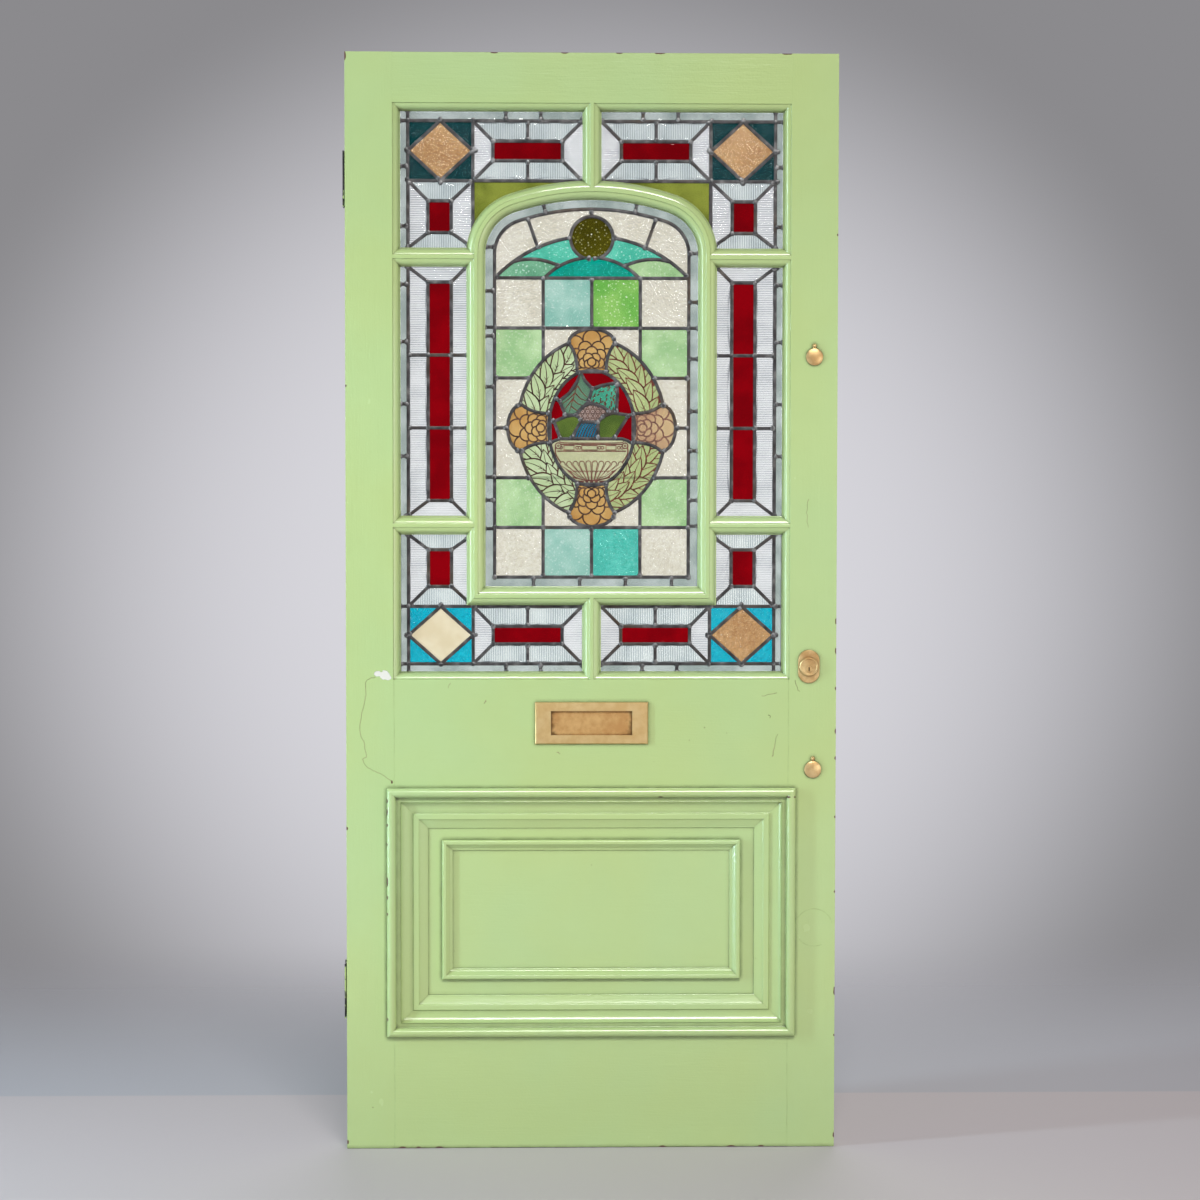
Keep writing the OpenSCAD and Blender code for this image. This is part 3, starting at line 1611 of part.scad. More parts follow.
module cylinder_screws() {
    color(steel) translate([cylinder_x, 0, cylinder_z]) for (s = [-1, 1])
        translate([s * back_screw_x, face_y + back_plate_t, 0]) rotate([90, 0, 0]) {
            cylinder(r = back_screw_r, h = back_screw_l);
            mirror([0, 0, 1]) cylinder(r = 3.8, h = 1.8);
        }
}

hinge_stile();
lock_stile();
top_rail();
lock_rail();
bottom_rail();
top_muntin();
bottom_muntin();
upper_side_bars();
lower_side_bars();
arch_head();
centre_legs();
centre_sill();
bottom_panel();
bolection_moulding();
field_moulding();
back_moulding();
glazing_beads();
tenon_wedges();
cames_centre();
cames_top_left();
cames_top_right();
cames_side_left();
cames_side_right();
cames_bottom_left();
cames_bottom_right();
glass_ruby();
glass_reeded();
glass_teal();
glass_amber();
glass_olive();
glass_border();
glass_cathedral();
glass_green();
glass_turquoise();
glass_shells();
glass_laurel();
glass_bowl();
glass_flowers();
saddle_bar();
hinge_frame_leaves();
hinge_door_leaves();
hinge_pins();
hinge_screws();
letter_plate();
letter_flap();
flap_rod();
flap_springs();
letter_bolts();
key_plates();
key_cover_upper();
key_cover_lower();
cover_pivots();
cylinder_pull();
cylinder_body();
cylinder_plug();
cylinder_back_plate();
cylinder_screws();
lock_cases();
lock_bolt_upper();
lock_bolt_lower();
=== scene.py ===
"""Looks of a painted front door: gloss paint, leaded glass, kiln-painted panes and worn brass."""
import math
import random

import bmesh
import bpy
from mathutils import Matrix, Vector
from mathutils.bvhtree import BVHTree
from mathutils.geometry import delaunay_2d_cdt, tessellate_polygon
from mathutils.noise import noise


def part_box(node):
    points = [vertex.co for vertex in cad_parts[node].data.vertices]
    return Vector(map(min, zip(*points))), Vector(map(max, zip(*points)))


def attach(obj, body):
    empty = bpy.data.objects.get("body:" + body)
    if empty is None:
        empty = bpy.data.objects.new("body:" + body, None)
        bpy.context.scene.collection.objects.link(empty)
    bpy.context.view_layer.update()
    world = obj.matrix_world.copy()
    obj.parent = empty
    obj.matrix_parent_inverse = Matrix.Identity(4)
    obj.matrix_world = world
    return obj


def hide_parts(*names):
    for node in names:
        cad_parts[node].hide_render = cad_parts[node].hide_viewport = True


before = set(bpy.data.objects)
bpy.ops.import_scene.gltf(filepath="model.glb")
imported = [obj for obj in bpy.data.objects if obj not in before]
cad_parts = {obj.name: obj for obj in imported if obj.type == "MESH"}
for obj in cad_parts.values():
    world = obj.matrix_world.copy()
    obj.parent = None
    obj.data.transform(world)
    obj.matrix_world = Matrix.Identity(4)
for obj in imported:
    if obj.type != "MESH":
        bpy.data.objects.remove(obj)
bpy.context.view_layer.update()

MM = 0.001
LEAF = "door_leaf"

# ---- Places, from the parts ----
stile_low, stile_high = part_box("hinge_stile")
glass_low, glass_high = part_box("glass_reeded")
lead_low, lead_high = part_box("cames_centre")
shells_low, shells_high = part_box("glass_shells")
FACE_Y = stile_low.y
HEIGHT = stile_high.z
GLASS_FRONT = glass_low.y
GLASS_BACK = glass_high.y
LEAD_FRONT = lead_low.y
LEAD_BACK = lead_high.y
MIDDLE_Z = (lead_low.z + lead_high.z) / 2
WREATH_Z = (shells_low.z + shells_high.z) / 2


# ---- Shader sums ----
def feed(tree, socket, value):
    """Gives a socket a link, a colour, a vector or a number."""
    if isinstance(value, Signal):
        tree.links.new(value.socket, socket)
    elif isinstance(value, (tuple, list)) and len(value) == 3 and socket.type == "RGBA":
        socket.default_value = (*value, 1.0)
    else:
        socket.default_value = value


def maths(tree, operation, *values):
    made = tree.nodes.new("ShaderNodeMath")
    made.operation = operation
    for socket, value in zip(made.inputs, values):
        feed(tree, socket, value)
    return Signal(tree, made.outputs[0])


class Signal:
    """A socket of a material's nodes on which sums are written."""

    def __init__(self, tree, socket):
        self.tree, self.socket = tree, socket

    def __rsub__(self, other):
        return maths(self.tree, "SUBTRACT", other, self)


for method, operation in (("__add__", "ADD"), ("__radd__", "ADD"), ("__sub__", "SUBTRACT"),
        ("__mul__", "MULTIPLY"), ("__rmul__", "MULTIPLY"), ("__pow__", "POWER"), ("most", "MAXIMUM"),
        ("least", "MINIMUM"), ("wave", "SINE")):
    setattr(Signal, method, lambda self, *others, kind=operation: maths(self.tree, kind, self, *others))


class Finish:
    """A material, made from expressions on its sockets."""

    def __init__(self, name):
        self.material = bpy.data.materials.new(name)
        self.material.use_nodes = True
        self.tree = self.material.node_tree
        self.tree.nodes.clear()
        self.here = self.node("ShaderNodeTexCoord", out="Object")

    def node(self, kind, settings=None, sockets=None, out=0):
        """Any node: its settings first, then the values or links of its sockets."""
        made = self.tree.nodes.new(kind)
        for key, value in (settings or {}).items():
            if key == "stops":
                self._stops(made.color_ramp, value)
            else:
                setattr(made, key, value)
        for key, value in (sockets or {}).items():
            feed(self.tree, made.inputs[key], value)
        return Signal(self.tree, made.outputs[out]) if len(made.outputs) else None

    @staticmethod
    def _stops(ramp, stops):
        while len(ramp.elements) < len(stops):
            ramp.elements.new(0.5)
        for element, (position, colour) in zip(ramp.elements, stops):
            element.position = position
            element.color = (*colour, 1.0)

    def axes(self):
        """The X, Y and Z of the place, each as a number."""
        split = self.tree.nodes.new("ShaderNodeSeparateXYZ")
        feed(self.tree, split.inputs[0], self.here)
        return [Signal(self.tree, s) for s in split.outputs]

    def stretched(self, scale):
        return self.node("ShaderNodeMapping", sockets={"Vector": self.here, "Scale": scale})

    def noise(self, scale, detail=2.0, where=None, rough=0.5, twist=0.0):
        return self.node("ShaderNodeTexNoise", sockets={"Vector": where or self.here, "Scale": scale,
            "Detail": detail, "Roughness": rough, "Distortion": twist})

    def cells(self, scale):
        sockets = {"Vector": self.here, "Scale": scale}
        return self.node("ShaderNodeTexVoronoi", sockets=sockets, out="Distance")

    def corners(self, reach, samples):
        """1 on open faces, down to 0 deep in a corner of about this reach."""
        return self.node("ShaderNodeAmbientOcclusion", {"samples": samples}, {"Distance": reach}, out="AO")

    def between(self, value, low, high):
        """0 below low and 1 above high, with a smooth change."""
        return self.node("ShaderNodeMapRange", {"interpolation_type": "SMOOTHSTEP"},
            {"Value": value, "From Min": low, "From Max": high})

    def mix(self, share, first, second):
        return self.node("ShaderNodeMix", {"data_type": "RGBA", "clamp_factor": True},
            {0: share, 6: first, 7: second}, out=2)

    def bump(self, height, depth, strength):
        sockets = {"Height": height, "Distance": depth, "Strength": strength}
        return self.node("ShaderNodeBump", sockets=sockets)

    def surface(self, **sockets):
        named = {key.replace("_", " "): value for key, value in sockets.items()}
        shader = self.node("ShaderNodeBsdfPrincipled", sockets=named)
        self.node("ShaderNodeOutputMaterial", sockets={"Surface": shader})
        return self.material


def srgb(red, green, blue):
    """A colour given as screen values from 0 to 255."""
    return tuple((c / 255 / 12.92) if c <= 10 else ((c / 255 + 0.055) / 1.055) ** 2.4
        for c in (red, green, blue))


# ---- Paint ----
PAINT = srgb(187, 210, 145)
PAINT_WARM = srgb(191, 207, 135)
PAINT_COOL = srgb(182, 211, 154)
PAINT_PALE = srgb(198, 222, 156)
# Painted shade colour, for the corners and hollows and for the top and foot of the door; in the corners it
# also stands for dirt.
PAINT_SHADE_AND_GRIME = srgb(74, 86, 36)
DIRT_SPECK = srgb(92, 78, 50)
BARE = srgb(232, 230, 222)
PRIMER = srgb(94, 60, 42)
BRUSH_MARKS, BRUSH_STREAKS, ORANGE_PEEL, DRAWN_OUT = 420, 95, 260, 0.07
# How far from a corner the painted shade reaches.
CORNER_SHADE_REACH = 7.5 * MM
CHIP_REACH = (FACE_Y + 7 * MM, FACE_Y + 5 * MM)
# Heights below and above which the paint is darkened as painted shade, towards the foot and the head of the
# door.
FOOT_SHADE_TOP, HEAD_SHADE_FOOT = 0.4, 1.25


def blot(x, z, middle_x, middle_z, half_x, half_z):
    """Below 1 inside an oval on the face of the door, given by its middle and its half sizes."""
    across = (x - middle_x) * (1 / half_x)
    up = (z - middle_z) * (1 / half_z)
    return across * across + up * up


def gloss_paint(name, upright, chips=(), bare=()):
    """Thick brushed gloss paint, with its brush marks along the member, chips in it, and painted shade in its
    corners and towards the top and foot of the door.
    """
    f = Finish(name)
    x, y, z = f.axes()
    brushed = f.stretched((1.0, 1.0, DRAWN_OUT) if upright else (DRAWN_OUT, 1.0, 1.0))
    marks = f.noise(BRUSH_MARKS, 3, brushed, 0.6)
    streaks = f.noise(BRUSH_STREAKS, 2, brushed, 0.55)
    peel = f.noise(ORANGE_PEEL, 2)
    broad = f.noise(2.3, 3)
    fine = f.noise(14, 3)
    colour = f.mix(f.between(broad, 0.35, 0.68), PAINT_WARM, PAINT_COOL)
    colour = f.mix(0.6, colour, PAINT)
    colour = f.mix(f.between(fine, 0.3, 0.9) * 0.12, colour, PAINT_PALE)
    # Painted shade: the paint is darkened towards the head and the foot of the door, where less light falls
    # on it.
    top_and_foot_shade = f.between(z, HEAD_SHADE_FOOT, HEIGHT) * 0.16 + f.between(z, FOOT_SHADE_TOP, 0.0) * 0.11
    colour = f.mix(top_and_foot_shade, colour, PAINT_SHADE_AND_GRIME)
    uneven = f.between(f.noise(38, 3), 0.3, 0.7)
    # Painted shade in corners and hollows, with some dirt there: darker, rougher paint where little ambient
    # light reaches.
    corner_shade_and_grime = (1 - f.between(f.corners(CORNER_SHADE_REACH, 2), 0.4, 0.96)) * (0.7 + uneven * 0.3)
    colour = f.mix(corner_shade_and_grime * 0.95, colour, PAINT_SHADE_AND_GRIME)
    specks = f.between(f.cells(30), 0.045, 0.02) * f.between(f.noise(7, 2), 0.56, 0.62)
    colour = f.mix(specks * 0.8, colour, DIRT_SPECK)
    height = marks * 0.35 + streaks * 0.5 + peel * 0.25
    roughness = 0.22 + f.between(fine, 0.2, 0.9) * 0.06 + corner_shade_and_grime * 0.25
    lost = None
    for group, shade in ((chips, PRIMER), (bare, BARE)):
        if not group:
            continue
        near = blot(x, z, *group[0])
        for place in group[1:]:
            near = near.least(blot(x, z, *place))
        ragged = (f.noise(170, 3) - 0.5) * 1.6
        mask = f.between(near + ragged, 1.05, 0.9) * f.between(y, *CHIP_REACH)
        colour = f.mix(mask, colour, shade)
        height = height - mask * 3.0
        lost = mask if lost is None else lost.most(mask)
    if lost is not None:
        roughness = roughness + lost * 0.4
    return f.surface(Base_Color=colour, Roughness=roughness, IOR=1.5, Coat_Weight=0.7, Coat_Roughness=0.12,
        Normal=f.bump(height, 0.7 * MM, 0.85))


# ---- Metals ----
def lead():
    f = Finish("lead_came")
    worn = f.noise(60, 4)
    stops = [(0.3, srgb(52, 50, 52)), (0.55, srgb(82, 80, 82)), (0.75, srgb(122, 120, 120))]
    colour = f.node("ShaderNodeValToRGB", {"stops": stops}, {"Fac": worn})
    colour = f.mix(f.between(f.noise(9, 3), 0.5, 0.72) * 0.6, colour, srgb(88, 72, 56))
    return f.surface(Base_Color=colour, Metallic=0.65, Roughness=0.38 + worn * 0.3,
        Normal=f.bump(f.noise(500, 3), 0.3 * MM, 0.5))


def solder():
    f = Finish("solder_joint")
    worn = f.noise(140, 3)
    colour = f.mix(f.between(worn, 0.35, 0.7), srgb(76, 76, 78), srgb(146, 146, 148))
    return f.surface(Base_Color=colour, Metallic=0.8, Roughness=0.28 + worn * 0.25,
        Normal=f.bump(worn, 0.3 * MM, 0.4))


# Colour of tarnished brass in the hollows, and of the painted shadow at the flap's rim.
TARNISH_AND_SHADOW = srgb(70, 46, 22)
TARNISH_REACH = 6 * MM


def brass(name, clean, dull, rough, rim=None):
    """Brass gone brown, darker in its corners, and towards its rim where that is given as a box; the
    darkening at the rim is painted shadow on tarnished brass.
    """
    f = Finish(name)
    patina = f.noise(42, 5, rough=0.62)
    blotch = f.noise(11, 3)
    colour = f.mix(f.between(patina + blotch * 0.5, 0.55, 0.95), srgb(*clean), srgb(*dull))
    tarnish_and_shadow = 1 - f.between(f.corners(TARNISH_REACH, 3), 0.35, 0.85)
    if rim:
        x, y, z = f.axes()
        low, high = rim
        across = (x - (low.x + high.x) / 2) * (2 / (high.x - low.x))
        up = (z - (low.z + high.z) / 2) * (2 / (high.z - low.z))
        # Painted shadow on tarnished brass: darker towards the rim, where the plate shades the recessed flap.
        far = across ** 8 + up ** 6 + (f.noise(90, 3) - 0.5) * 0.9
        tarnish_and_shadow = tarnish_and_shadow.most(f.between(far, 0.2, 0.85))
    colour = f.mix(tarnish_and_shadow * 0.75, colour, TARNISH_AND_SHADOW)
    scratch = f.noise(900, 2, f.stretched((0.08, 1, 1)))
    return f.surface(Base_Color=colour, Metallic=0.72, Roughness=rough + patina * 0.18 + tarnish_and_shadow * 0.2,
        Normal=f.bump(scratch + patina, 0.12 * MM, 0.5))


def steel(name, light, dark, painted=False):
    """Dull steel, with old green paint left in patches where it is painted."""
    f = Finish(name)
    worn = f.noise(70, 5, rough=0.6)
    colour = f.mix(f.between(worn, 0.35, 0.65), srgb(*light), srgb(*dark))
    rough = 0.35 + worn * 0.3
    if not painted:
        return f.surface(Base_Color=colour, Metallic=0.9, Roughness=rough, Normal=f.bump(worn, 0.3 * MM, 0.4))
    kept = f.between(f.noise(45, 4), 0.515, 0.555)
    return f.surface(Base_Color=f.mix(kept, colour, PAINT_WARM), Metallic=0.9 - kept * 0.9, Roughness=rough,
        Normal=f.bump(worn + kept * 2.0, 0.3 * MM, 0.5))


# ---- Glass ----
REEDED, HAMMERED, SMOOTH, SEEDY, PAINTED = "reeded", "hammered", "smooth", "seedy", "painted"
RIB = 3.3 * MM
rolled = {}


# specks is the share of painted white highlights mixed into hammered and seedy glass.
def glass(name, light, dark, surface, through, rough, specks=0.0, upright=True, bends=1.45):
    """One colour of glass, with the surface that it was rolled with."""
    f = Finish(name)
    rolled[f.material.name] = surface
    light, dark = srgb(*light), srgb(*dark)
    broad = f.noise(16, 3)
    if surface == HAMMERED:
        broad = broad * 0.5 + f.noise(150, 2) * 0.5
    colour = f.mix(f.between(broad, 0.35, 0.68), dark, light)
    height, depth = f.noise(60, 2) * 0.4, 0.6 * MM
    if surface == HAMMERED:
        dimple = f.cells(300)
        height, depth = f.noise(330, 2, twist=0.6) + dimple * 1.2, 1.2 * MM
        # Painted highlights: white glints mixed into the hammered glass's colour, standing in for lamps
        # reflected in its dimples.
        painted_glint = f.between(f.noise(360, 2, twist=0.8), 0.64, 0.7)
        colour = f.mix(painted_glint * specks, colour, srgb(255, 255, 250))
        colour = f.mix(f.between(dimple, 0.1, 0.5) * 0.4, colour, dark)
    if surface == REEDED:
        x, y, z = f.axes()
        # Painted light: light and dark stripes along the reeds stand in for the light and shade that the
        # reeds bend in from around them.
        rib = ((x if upright else z) * (2 * math.pi / RIB)).wave() * 0.5 + 0.5
        haze = f.noise(24, 3, f.stretched((1, 1, 0.4) if upright else (0.4, 1, 1)))
        colour = f.mix(f.between(rib * 0.55 + haze, 0.35, 1.0), dark, light)
    if surface == SEEDY:
        height, depth = f.noise(120, 3, twist=0.5), 1.0 * MM
        # Painted highlights: white glints mixed into the seedy glass's colour.
        painted_glint = f.between(f.cells(150), 0.24, 0.15)
        colour = f.mix(painted_glint * specks, colour, srgb(255, 255, 252))
    return f.surface(Base_Color=colour, Roughness=rough, IOR=bends, Transmission_Weight=through,
        Normal=f.bump(height, depth, 0.5))


def kiln_paint(name, light, dark, through=0.12):
    """Enamel fired on to the glass."""
    f = Finish(name)
    colour = f.mix(f.between(f.noise(90, 4), 0.35, 0.7), srgb(*dark), srgb(*light))
    return f.surface(Base_Color=colour, Roughness=0.32, Transmission_Weight=through,
        Normal=f.bump(f.noise(400, 2), 0.2 * MM, 0.4))


# ---- Mesh helpers ----
def linked(name, data):
    """A new object in the scene."""
    made = bpy.data.objects.new(name, data)
    bpy.context.scene.collection.objects.link(made)
    return made


def smooth_up_to(mesh, degrees):
    """Shades a mesh smooth, with the edges above an angle sharp."""
    mesh.polygons.foreach_set("use_smooth", [True] * len(mesh.polygons))
    mesh.set_sharp_from_angle(angle=math.radians(degrees))


def finished(name, bm, materials, smooth_angle=None, body=LEAF, replaces=()):
    """Makes the piece from a bmesh, and puts it on its body."""
    mesh = bpy.data.meshes.new(name)
    bm.to_mesh(mesh)
    bm.free()
    piece = linked(name, mesh)
    for material in materials:
        mesh.materials.append(material)
    if smooth_angle is not None:
        smooth_up_to(mesh, smooth_angle)
    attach(piece, body)
    if replaces:
        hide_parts(*replaces)
    return piece


def merged_copy(node):
    """A node's own mesh with its doubled corners merged and its flat faces made whole."""
    bm = bmesh.new()
    bm.from_mesh(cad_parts[node].data)
    bmesh.ops.remove_doubles(bm, verts=bm.verts, dist=0.004 * MM)
    bmesh.ops.dissolve_limit(bm, angle_limit=math.radians(0.4), verts=bm.verts, edges=bm.edges)
    return bm


def islands(bm):
    """The separate solids in a mesh, each as a list of faces, in the same order at every run."""
    left = dict.fromkeys(bm.faces)
    found = []
    while left:
        start = next(iter(left))
        del left[start]
        group, edge = [start], [start]
        while edge:
            face = edge.pop()
            for e in face.edges:
                for other in e.link_faces:
                    if other in left:
                        del left[other]
                        group.append(other)
                        edge.append(other)
        found.append(group)
    return found


# ---- Painted timber ----
def chips_up(x, half_x, *places):
    """Chips up an edge, in millimetres: the height and half the height of each."""
    return [(x * MM, z * MM, half_x * MM, half_z * MM) for z, half_z in places]


def chips_along(z, half_z, *places):
    """Chips along a level edge, in millimetres: the place and half the width of each."""
    return [(x * MM, z * MM, half_x * MM, half_z * MM) for x, half_x in places]


CHIPS_ROLL = chips_up(-379.5, 2.2, (652, 4), (631, 6), (607, 3), (571, 3), (502, 10), (472, 4), (441, 3),
    (244, 3))
CHIPS_ROLL += chips_along(658.5, 1.6, (128, 5), (366, 4), (379, 3))
CHIPS_LOCK_EDGE = chips_up(454.5, 1.8, (1700, 2), (985, 5), (930, 6), (860, 3), (780, 5), (730, 3), (620, 2),
    (480, 2), (293, 8), (210, 2), (22, 5))
CHIPS_HINGE_EDGE = chips_up(-454, 2, (2024, 8), (1420, 2), (600, 3), (12, 4))
CHIPS_HINGE_EDGE += chips_up(-370.5, 1.8, (686.5, 3.2))
CHIPS_FOOT = chips_along(0.8, 2.2, (-352, 6), (-322, 4), (-283, 7), (134, 6), (262, 7), (318, 5))
CHIPS_HEAD = chips_along(2031.5, 1.8, (124, 10), (-180, 7), (-50, 7), (50, 6), (360, 10))
BARE_PATCH = (chips_along(887.5, 5.2, (-396.5, 7.5)) + chips_along(885.5, 8.5, (-384, 9.5))
    + chips_along(880.5, 4.5, (-377, 6)))

MEMBER_FINISH = {
    "hinge_stile": ("hinge_stile_paint", True, CHIPS_HINGE_EDGE, BARE_PATCH),
    "lock_stile": ("lock_stile_paint", True, CHIPS_LOCK_EDGE, ()),
    "bottom_rail": ("bottom_rail_paint", False, CHIPS_FOOT, ()),
    "top_rail": ("top_rail_paint", False, CHIPS_HEAD, ()),
    "bolection_moulding": ("bolection_paint", False, CHIPS_ROLL, ()),
}
UPRIGHT_MEMBERS = ("top_muntin", "bottom_muntin", "centre_legs")
TIMBERS = ("hinge_stile", "lock_stile", "top_rail", "lock_rail", "bottom_rail", "top_muntin", "bottom_muntin",
    "upper_side_bars", "lower_side_bars", "arch_head", "centre_legs", "centre_sill", "bottom_panel",
    "bolection_moulding", "field_moulding", "back_moulding", "glazing_beads")


SHARPEST_SMOOTH = 25
ARRIS, JOINT_SHARE = 1.1 * MM, 0.12
TOUCHING = 0.16 * MM


def timber_trees():
    """A search tree for each solid of timber, to find where two of them meet."""
    trees = []
    for node in TIMBERS + ("tenon_wedges",):
        bm = merged_copy(node)
        bmesh.ops.triangulate(bm, faces=bm.faces)
        for group in islands(bm):
            index = {}
            faces = [[index.setdefault(v, len(index)) for v in face.verts] for face in group]
            low = Vector(min(v.co[i] for v in index) for i in range(3))
            high = Vector(max(v.co[i] for v in index) for i in range(3))
            trees.append((low, high, BVHTree.FromPolygons([v.co.copy() for v in index], faces)))
        bm.free()
    return trees


def meets_another(point, trees):
    """Whether a point on one solid's edge also lies against a second solid."""
    touched = 0
    for low, high, tree in trees:
        if all(low[i] - TOUCHING <= point[i] <= high[i] + TOUCHING for i in range(3)):
            if tree.find_nearest(point, TOUCHING)[0] is not None:
                touched += 1
    return touched > 1


def painted_timbers():
    """Each timber with its arrises rounded by paint, and its joints nearly filled by it."""
    trees = timber_trees()
    plain = {True: gloss_paint("upright_paint", True), False: gloss_paint("level_paint", False)}
    for node in TIMBERS:
        bm = merged_copy(node)
        weights = bm.edges.layers.float.new("bevel_weight_edge")
        for edge in bm.edges:
            if len(edge.link_faces) != 2 or edge.calc_face_angle(0.0) < math.radians(SHARPEST_SMOOTH):
                continue
            middle = (edge.verts[0].co + edge.verts[1].co) / 2
            edge[weights] = JOINT_SHARE if meets_another(middle, trees) else 1.0
        name, upright, chips, bare = MEMBER_FINISH.get(node, (None, node in UPRIGHT_MEMBERS, (), ()))
        paint = gloss_paint(name, upright, chips, bare) if name else plain[upright]
        piece = finished(f"painted_{node}", bm, [paint], replaces=[node])
        rounding = piece.modifiers.new("arrises", "BEVEL")
        rounding.limit_method = "WEIGHT"
        rounding.width = ARRIS
        rounding.segments = 3
        smooth_up_to(piece.data, 38)
        weighted = piece.modifiers.new("flats", "WEIGHTED_NORMAL")
        weighted.keep_sharp = True


painted_timbers()


# ---- Outlines of flat faces ----
def flat_faces(bm, y, facing):
    """The faces that lie at depth y and look to the front (-1) or to the back (1)."""
    return [f for f in bm.faces if f.normal.y * facing > 0.999 and abs(f.verts[0].co.y - y) < 0.01 * MM]


def outlines(faces):
    """The closed outlines of a group of flat faces, each as a list of its corners in order."""
    chosen = set(faces)
    follows = {}
    for face in faces:
        for corner in face.loops:
            if not any(other in chosen for other in corner.edge.link_faces if other is not face):
                follows.setdefault(corner.vert, []).append(corner.link_loop_next.vert)
    found = []
    while follows:
        start = next(iter(follows))
        ring, here = [], start
        while here in follows:
            ring.append(here)
            ahead = follows[here].pop()
            if not follows[here]:
                del follows[here]
            here = ahead
        found.append(ring)
    return found


def flat(point):
    return Vector((point.co.x, point.co.z))


def leftward(run):
    return Vector((-run.y, run.x))


def drawn_in(points, distance):
    """An outline moved to its left by a distance, with mitred corners."""
    moved = []
    for i, here in enumerate(points):
        before = leftward((here - points[i - 1]).normalized())
        after = leftward((points[(i + 1) % len(points)] - here).normalized())
        middle = before + after
        moved.append(here + middle * (2 * distance / max(middle.length_squared, 1.1)))
    return moved


# ---- Lead cames ----
DOME = ((0.5 * MM, 0.42 * MM), (1.2 * MM, 0.78 * MM), (2.0 * MM, 0.95 * MM))
JOINT_REACH = 8.5 * MM
SOLDER_HALF_WIDTH, SOLDER_HALF_THICKNESS = 4.6 * MM, 0.75 * MM


def round_over(bm, y, facing):
    """Swaps a net's flat face for a rounded one."""
    faces = flat_faces(bm, y, facing)
    rings = outlines(faces)
    bmesh.ops.delete(bm, geom=faces, context="FACES_ONLY")
    tops = []
    for ring in rings:
        line = [Vector((v.co.x * -facing, v.co.z)) for v in ring]
        lower = ring
        for inset, rise in DOME:
            upper = [bm.verts.new((p.x * -facing, y + facing * rise, p.y)) for p in drawn_in(line, inset)]
            for i, corner in enumerate(lower):
                j = (i + 1) % len(lower)
                bm.faces.new((corner, lower[j], upper[j], upper[i]))
            lower = upper
        tops.append(lower)
    flat_list = [v for ring in tops for v in ring]
    for a, b, c in tessellate_polygon([[Vector((v.co.x, v.co.z, 0)) for v in ring] for ring in tops]):
        corners = [flat_list[a], flat_list[b], flat_list[c]]
        if len(set(corners)) == 3 and not bm.faces.get(corners):
            made = bm.faces.new(corners)
            made.normal_update()
            if made.normal.y * facing < 0:
                made.normal_flip()


def came_corners(bm):
    """Where cames meet: the middles of the groups of corners in their outlines."""
    sharp = []
    for ring in outlines(flat_faces(bm, LEAD_FRONT, -1)):
        line = [flat(v) for v in ring]
        for i, here in enumerate(line):
            run, ahead = here - line[i - 1], line[(i + 1) % len(line)] - here
            if run.length > 0 and ahead.length > 0 and abs(run.angle(ahead)) > math.radians(24):
                sharp.append(here)
    groups = []
    for here in sharp:
        for group in groups:
            if (group[0] - here).length < JOINT_REACH:
                group.append(here)
                break
        else:
            groups.append([here])
    return [sum(g, Vector((0, 0))) / len(g) for g in groups if len(g) > 1]


def solder_tree(finish):
    """Geometry nodes that set a flattened blob of solder, of an uneven size, on each point."""
    tree = bpy.data.node_groups.new("solder_joints", "GeometryNodeTree")
    sockets = {}
    for name, kind in (("Joints", "Geometry"), ("Half width", "Float"), ("Half thickness", "Float"),
            ("Seed", "Int")):
        sockets[name] = tree.interface.new_socket(name, in_out="INPUT", socket_type=f"NodeSocket{kind}")
    tree.interface.new_socket("Solder", in_out="OUTPUT", socket_type="NodeSocketGeometry")
    given, out, blob, uneven, size, scaled, placed, real, smooth, coated = (tree.nodes.new(kind) for kind in (
        "NodeGroupInput", "NodeGroupOutput", "GeometryNodeMeshIcoSphere", "FunctionNodeRandomValue",
        "ShaderNodeCombineXYZ", "ShaderNodeVectorMath", "GeometryNodeInstanceOnPoints",
        "GeometryNodeRealizeInstances", "GeometryNodeSetShadeSmooth", "GeometryNodeSetMaterial"))
    blob.inputs["Subdivisions"].default_value = 2
    uneven.data_type = "FLOAT_VECTOR"
    uneven.inputs["Min"].default_value, uneven.inputs["Max"].default_value = (0.8,) * 3, (1.25,) * 3
    scaled.operation = "MULTIPLY"
    coated.inputs["Material"].default_value = finish
    for source, output, target, entry in (
            (given, "Half width", size, "X"), (given, "Half thickness", size, "Y"),
            (given, "Half width", size, "Z"), (given, "Seed", uneven, "Seed"), (size, 0, scaled, 0),
            (uneven, "Value", scaled, 1), (given, "Joints", placed, "Points"),
            (blob, "Mesh", placed, "Instance"), (scaled, 0, placed, "Scale"), (placed, 0, real, 0),
            (real, 0, smooth, 0), (smooth, 0, coated, 0), (coated, 0, out, 0)):
        tree.links.new(source.outputs[output], target.inputs[entry])
    return tree, {name: socket.identifier for name, socket in sockets.items()}


def from_points(name, points, tree, settings):
    """The plain mesh that a geometry tree makes on a row of points."""
    mesh = bpy.data.meshes.new(name)
    mesh.from_pydata(points, [], [])
    holder = linked(name, mesh)
    made = holder.modifiers.new("made", "NODES")
    made.node_group = tree
    for key, value in settings.items():
        made[key] = value
    ready = holder.evaluated_get(bpy.context.evaluated_depsgraph_get())
    holder.data = bpy.data.meshes.new_from_object(ready)
    holder.modifiers.clear()
    return holder


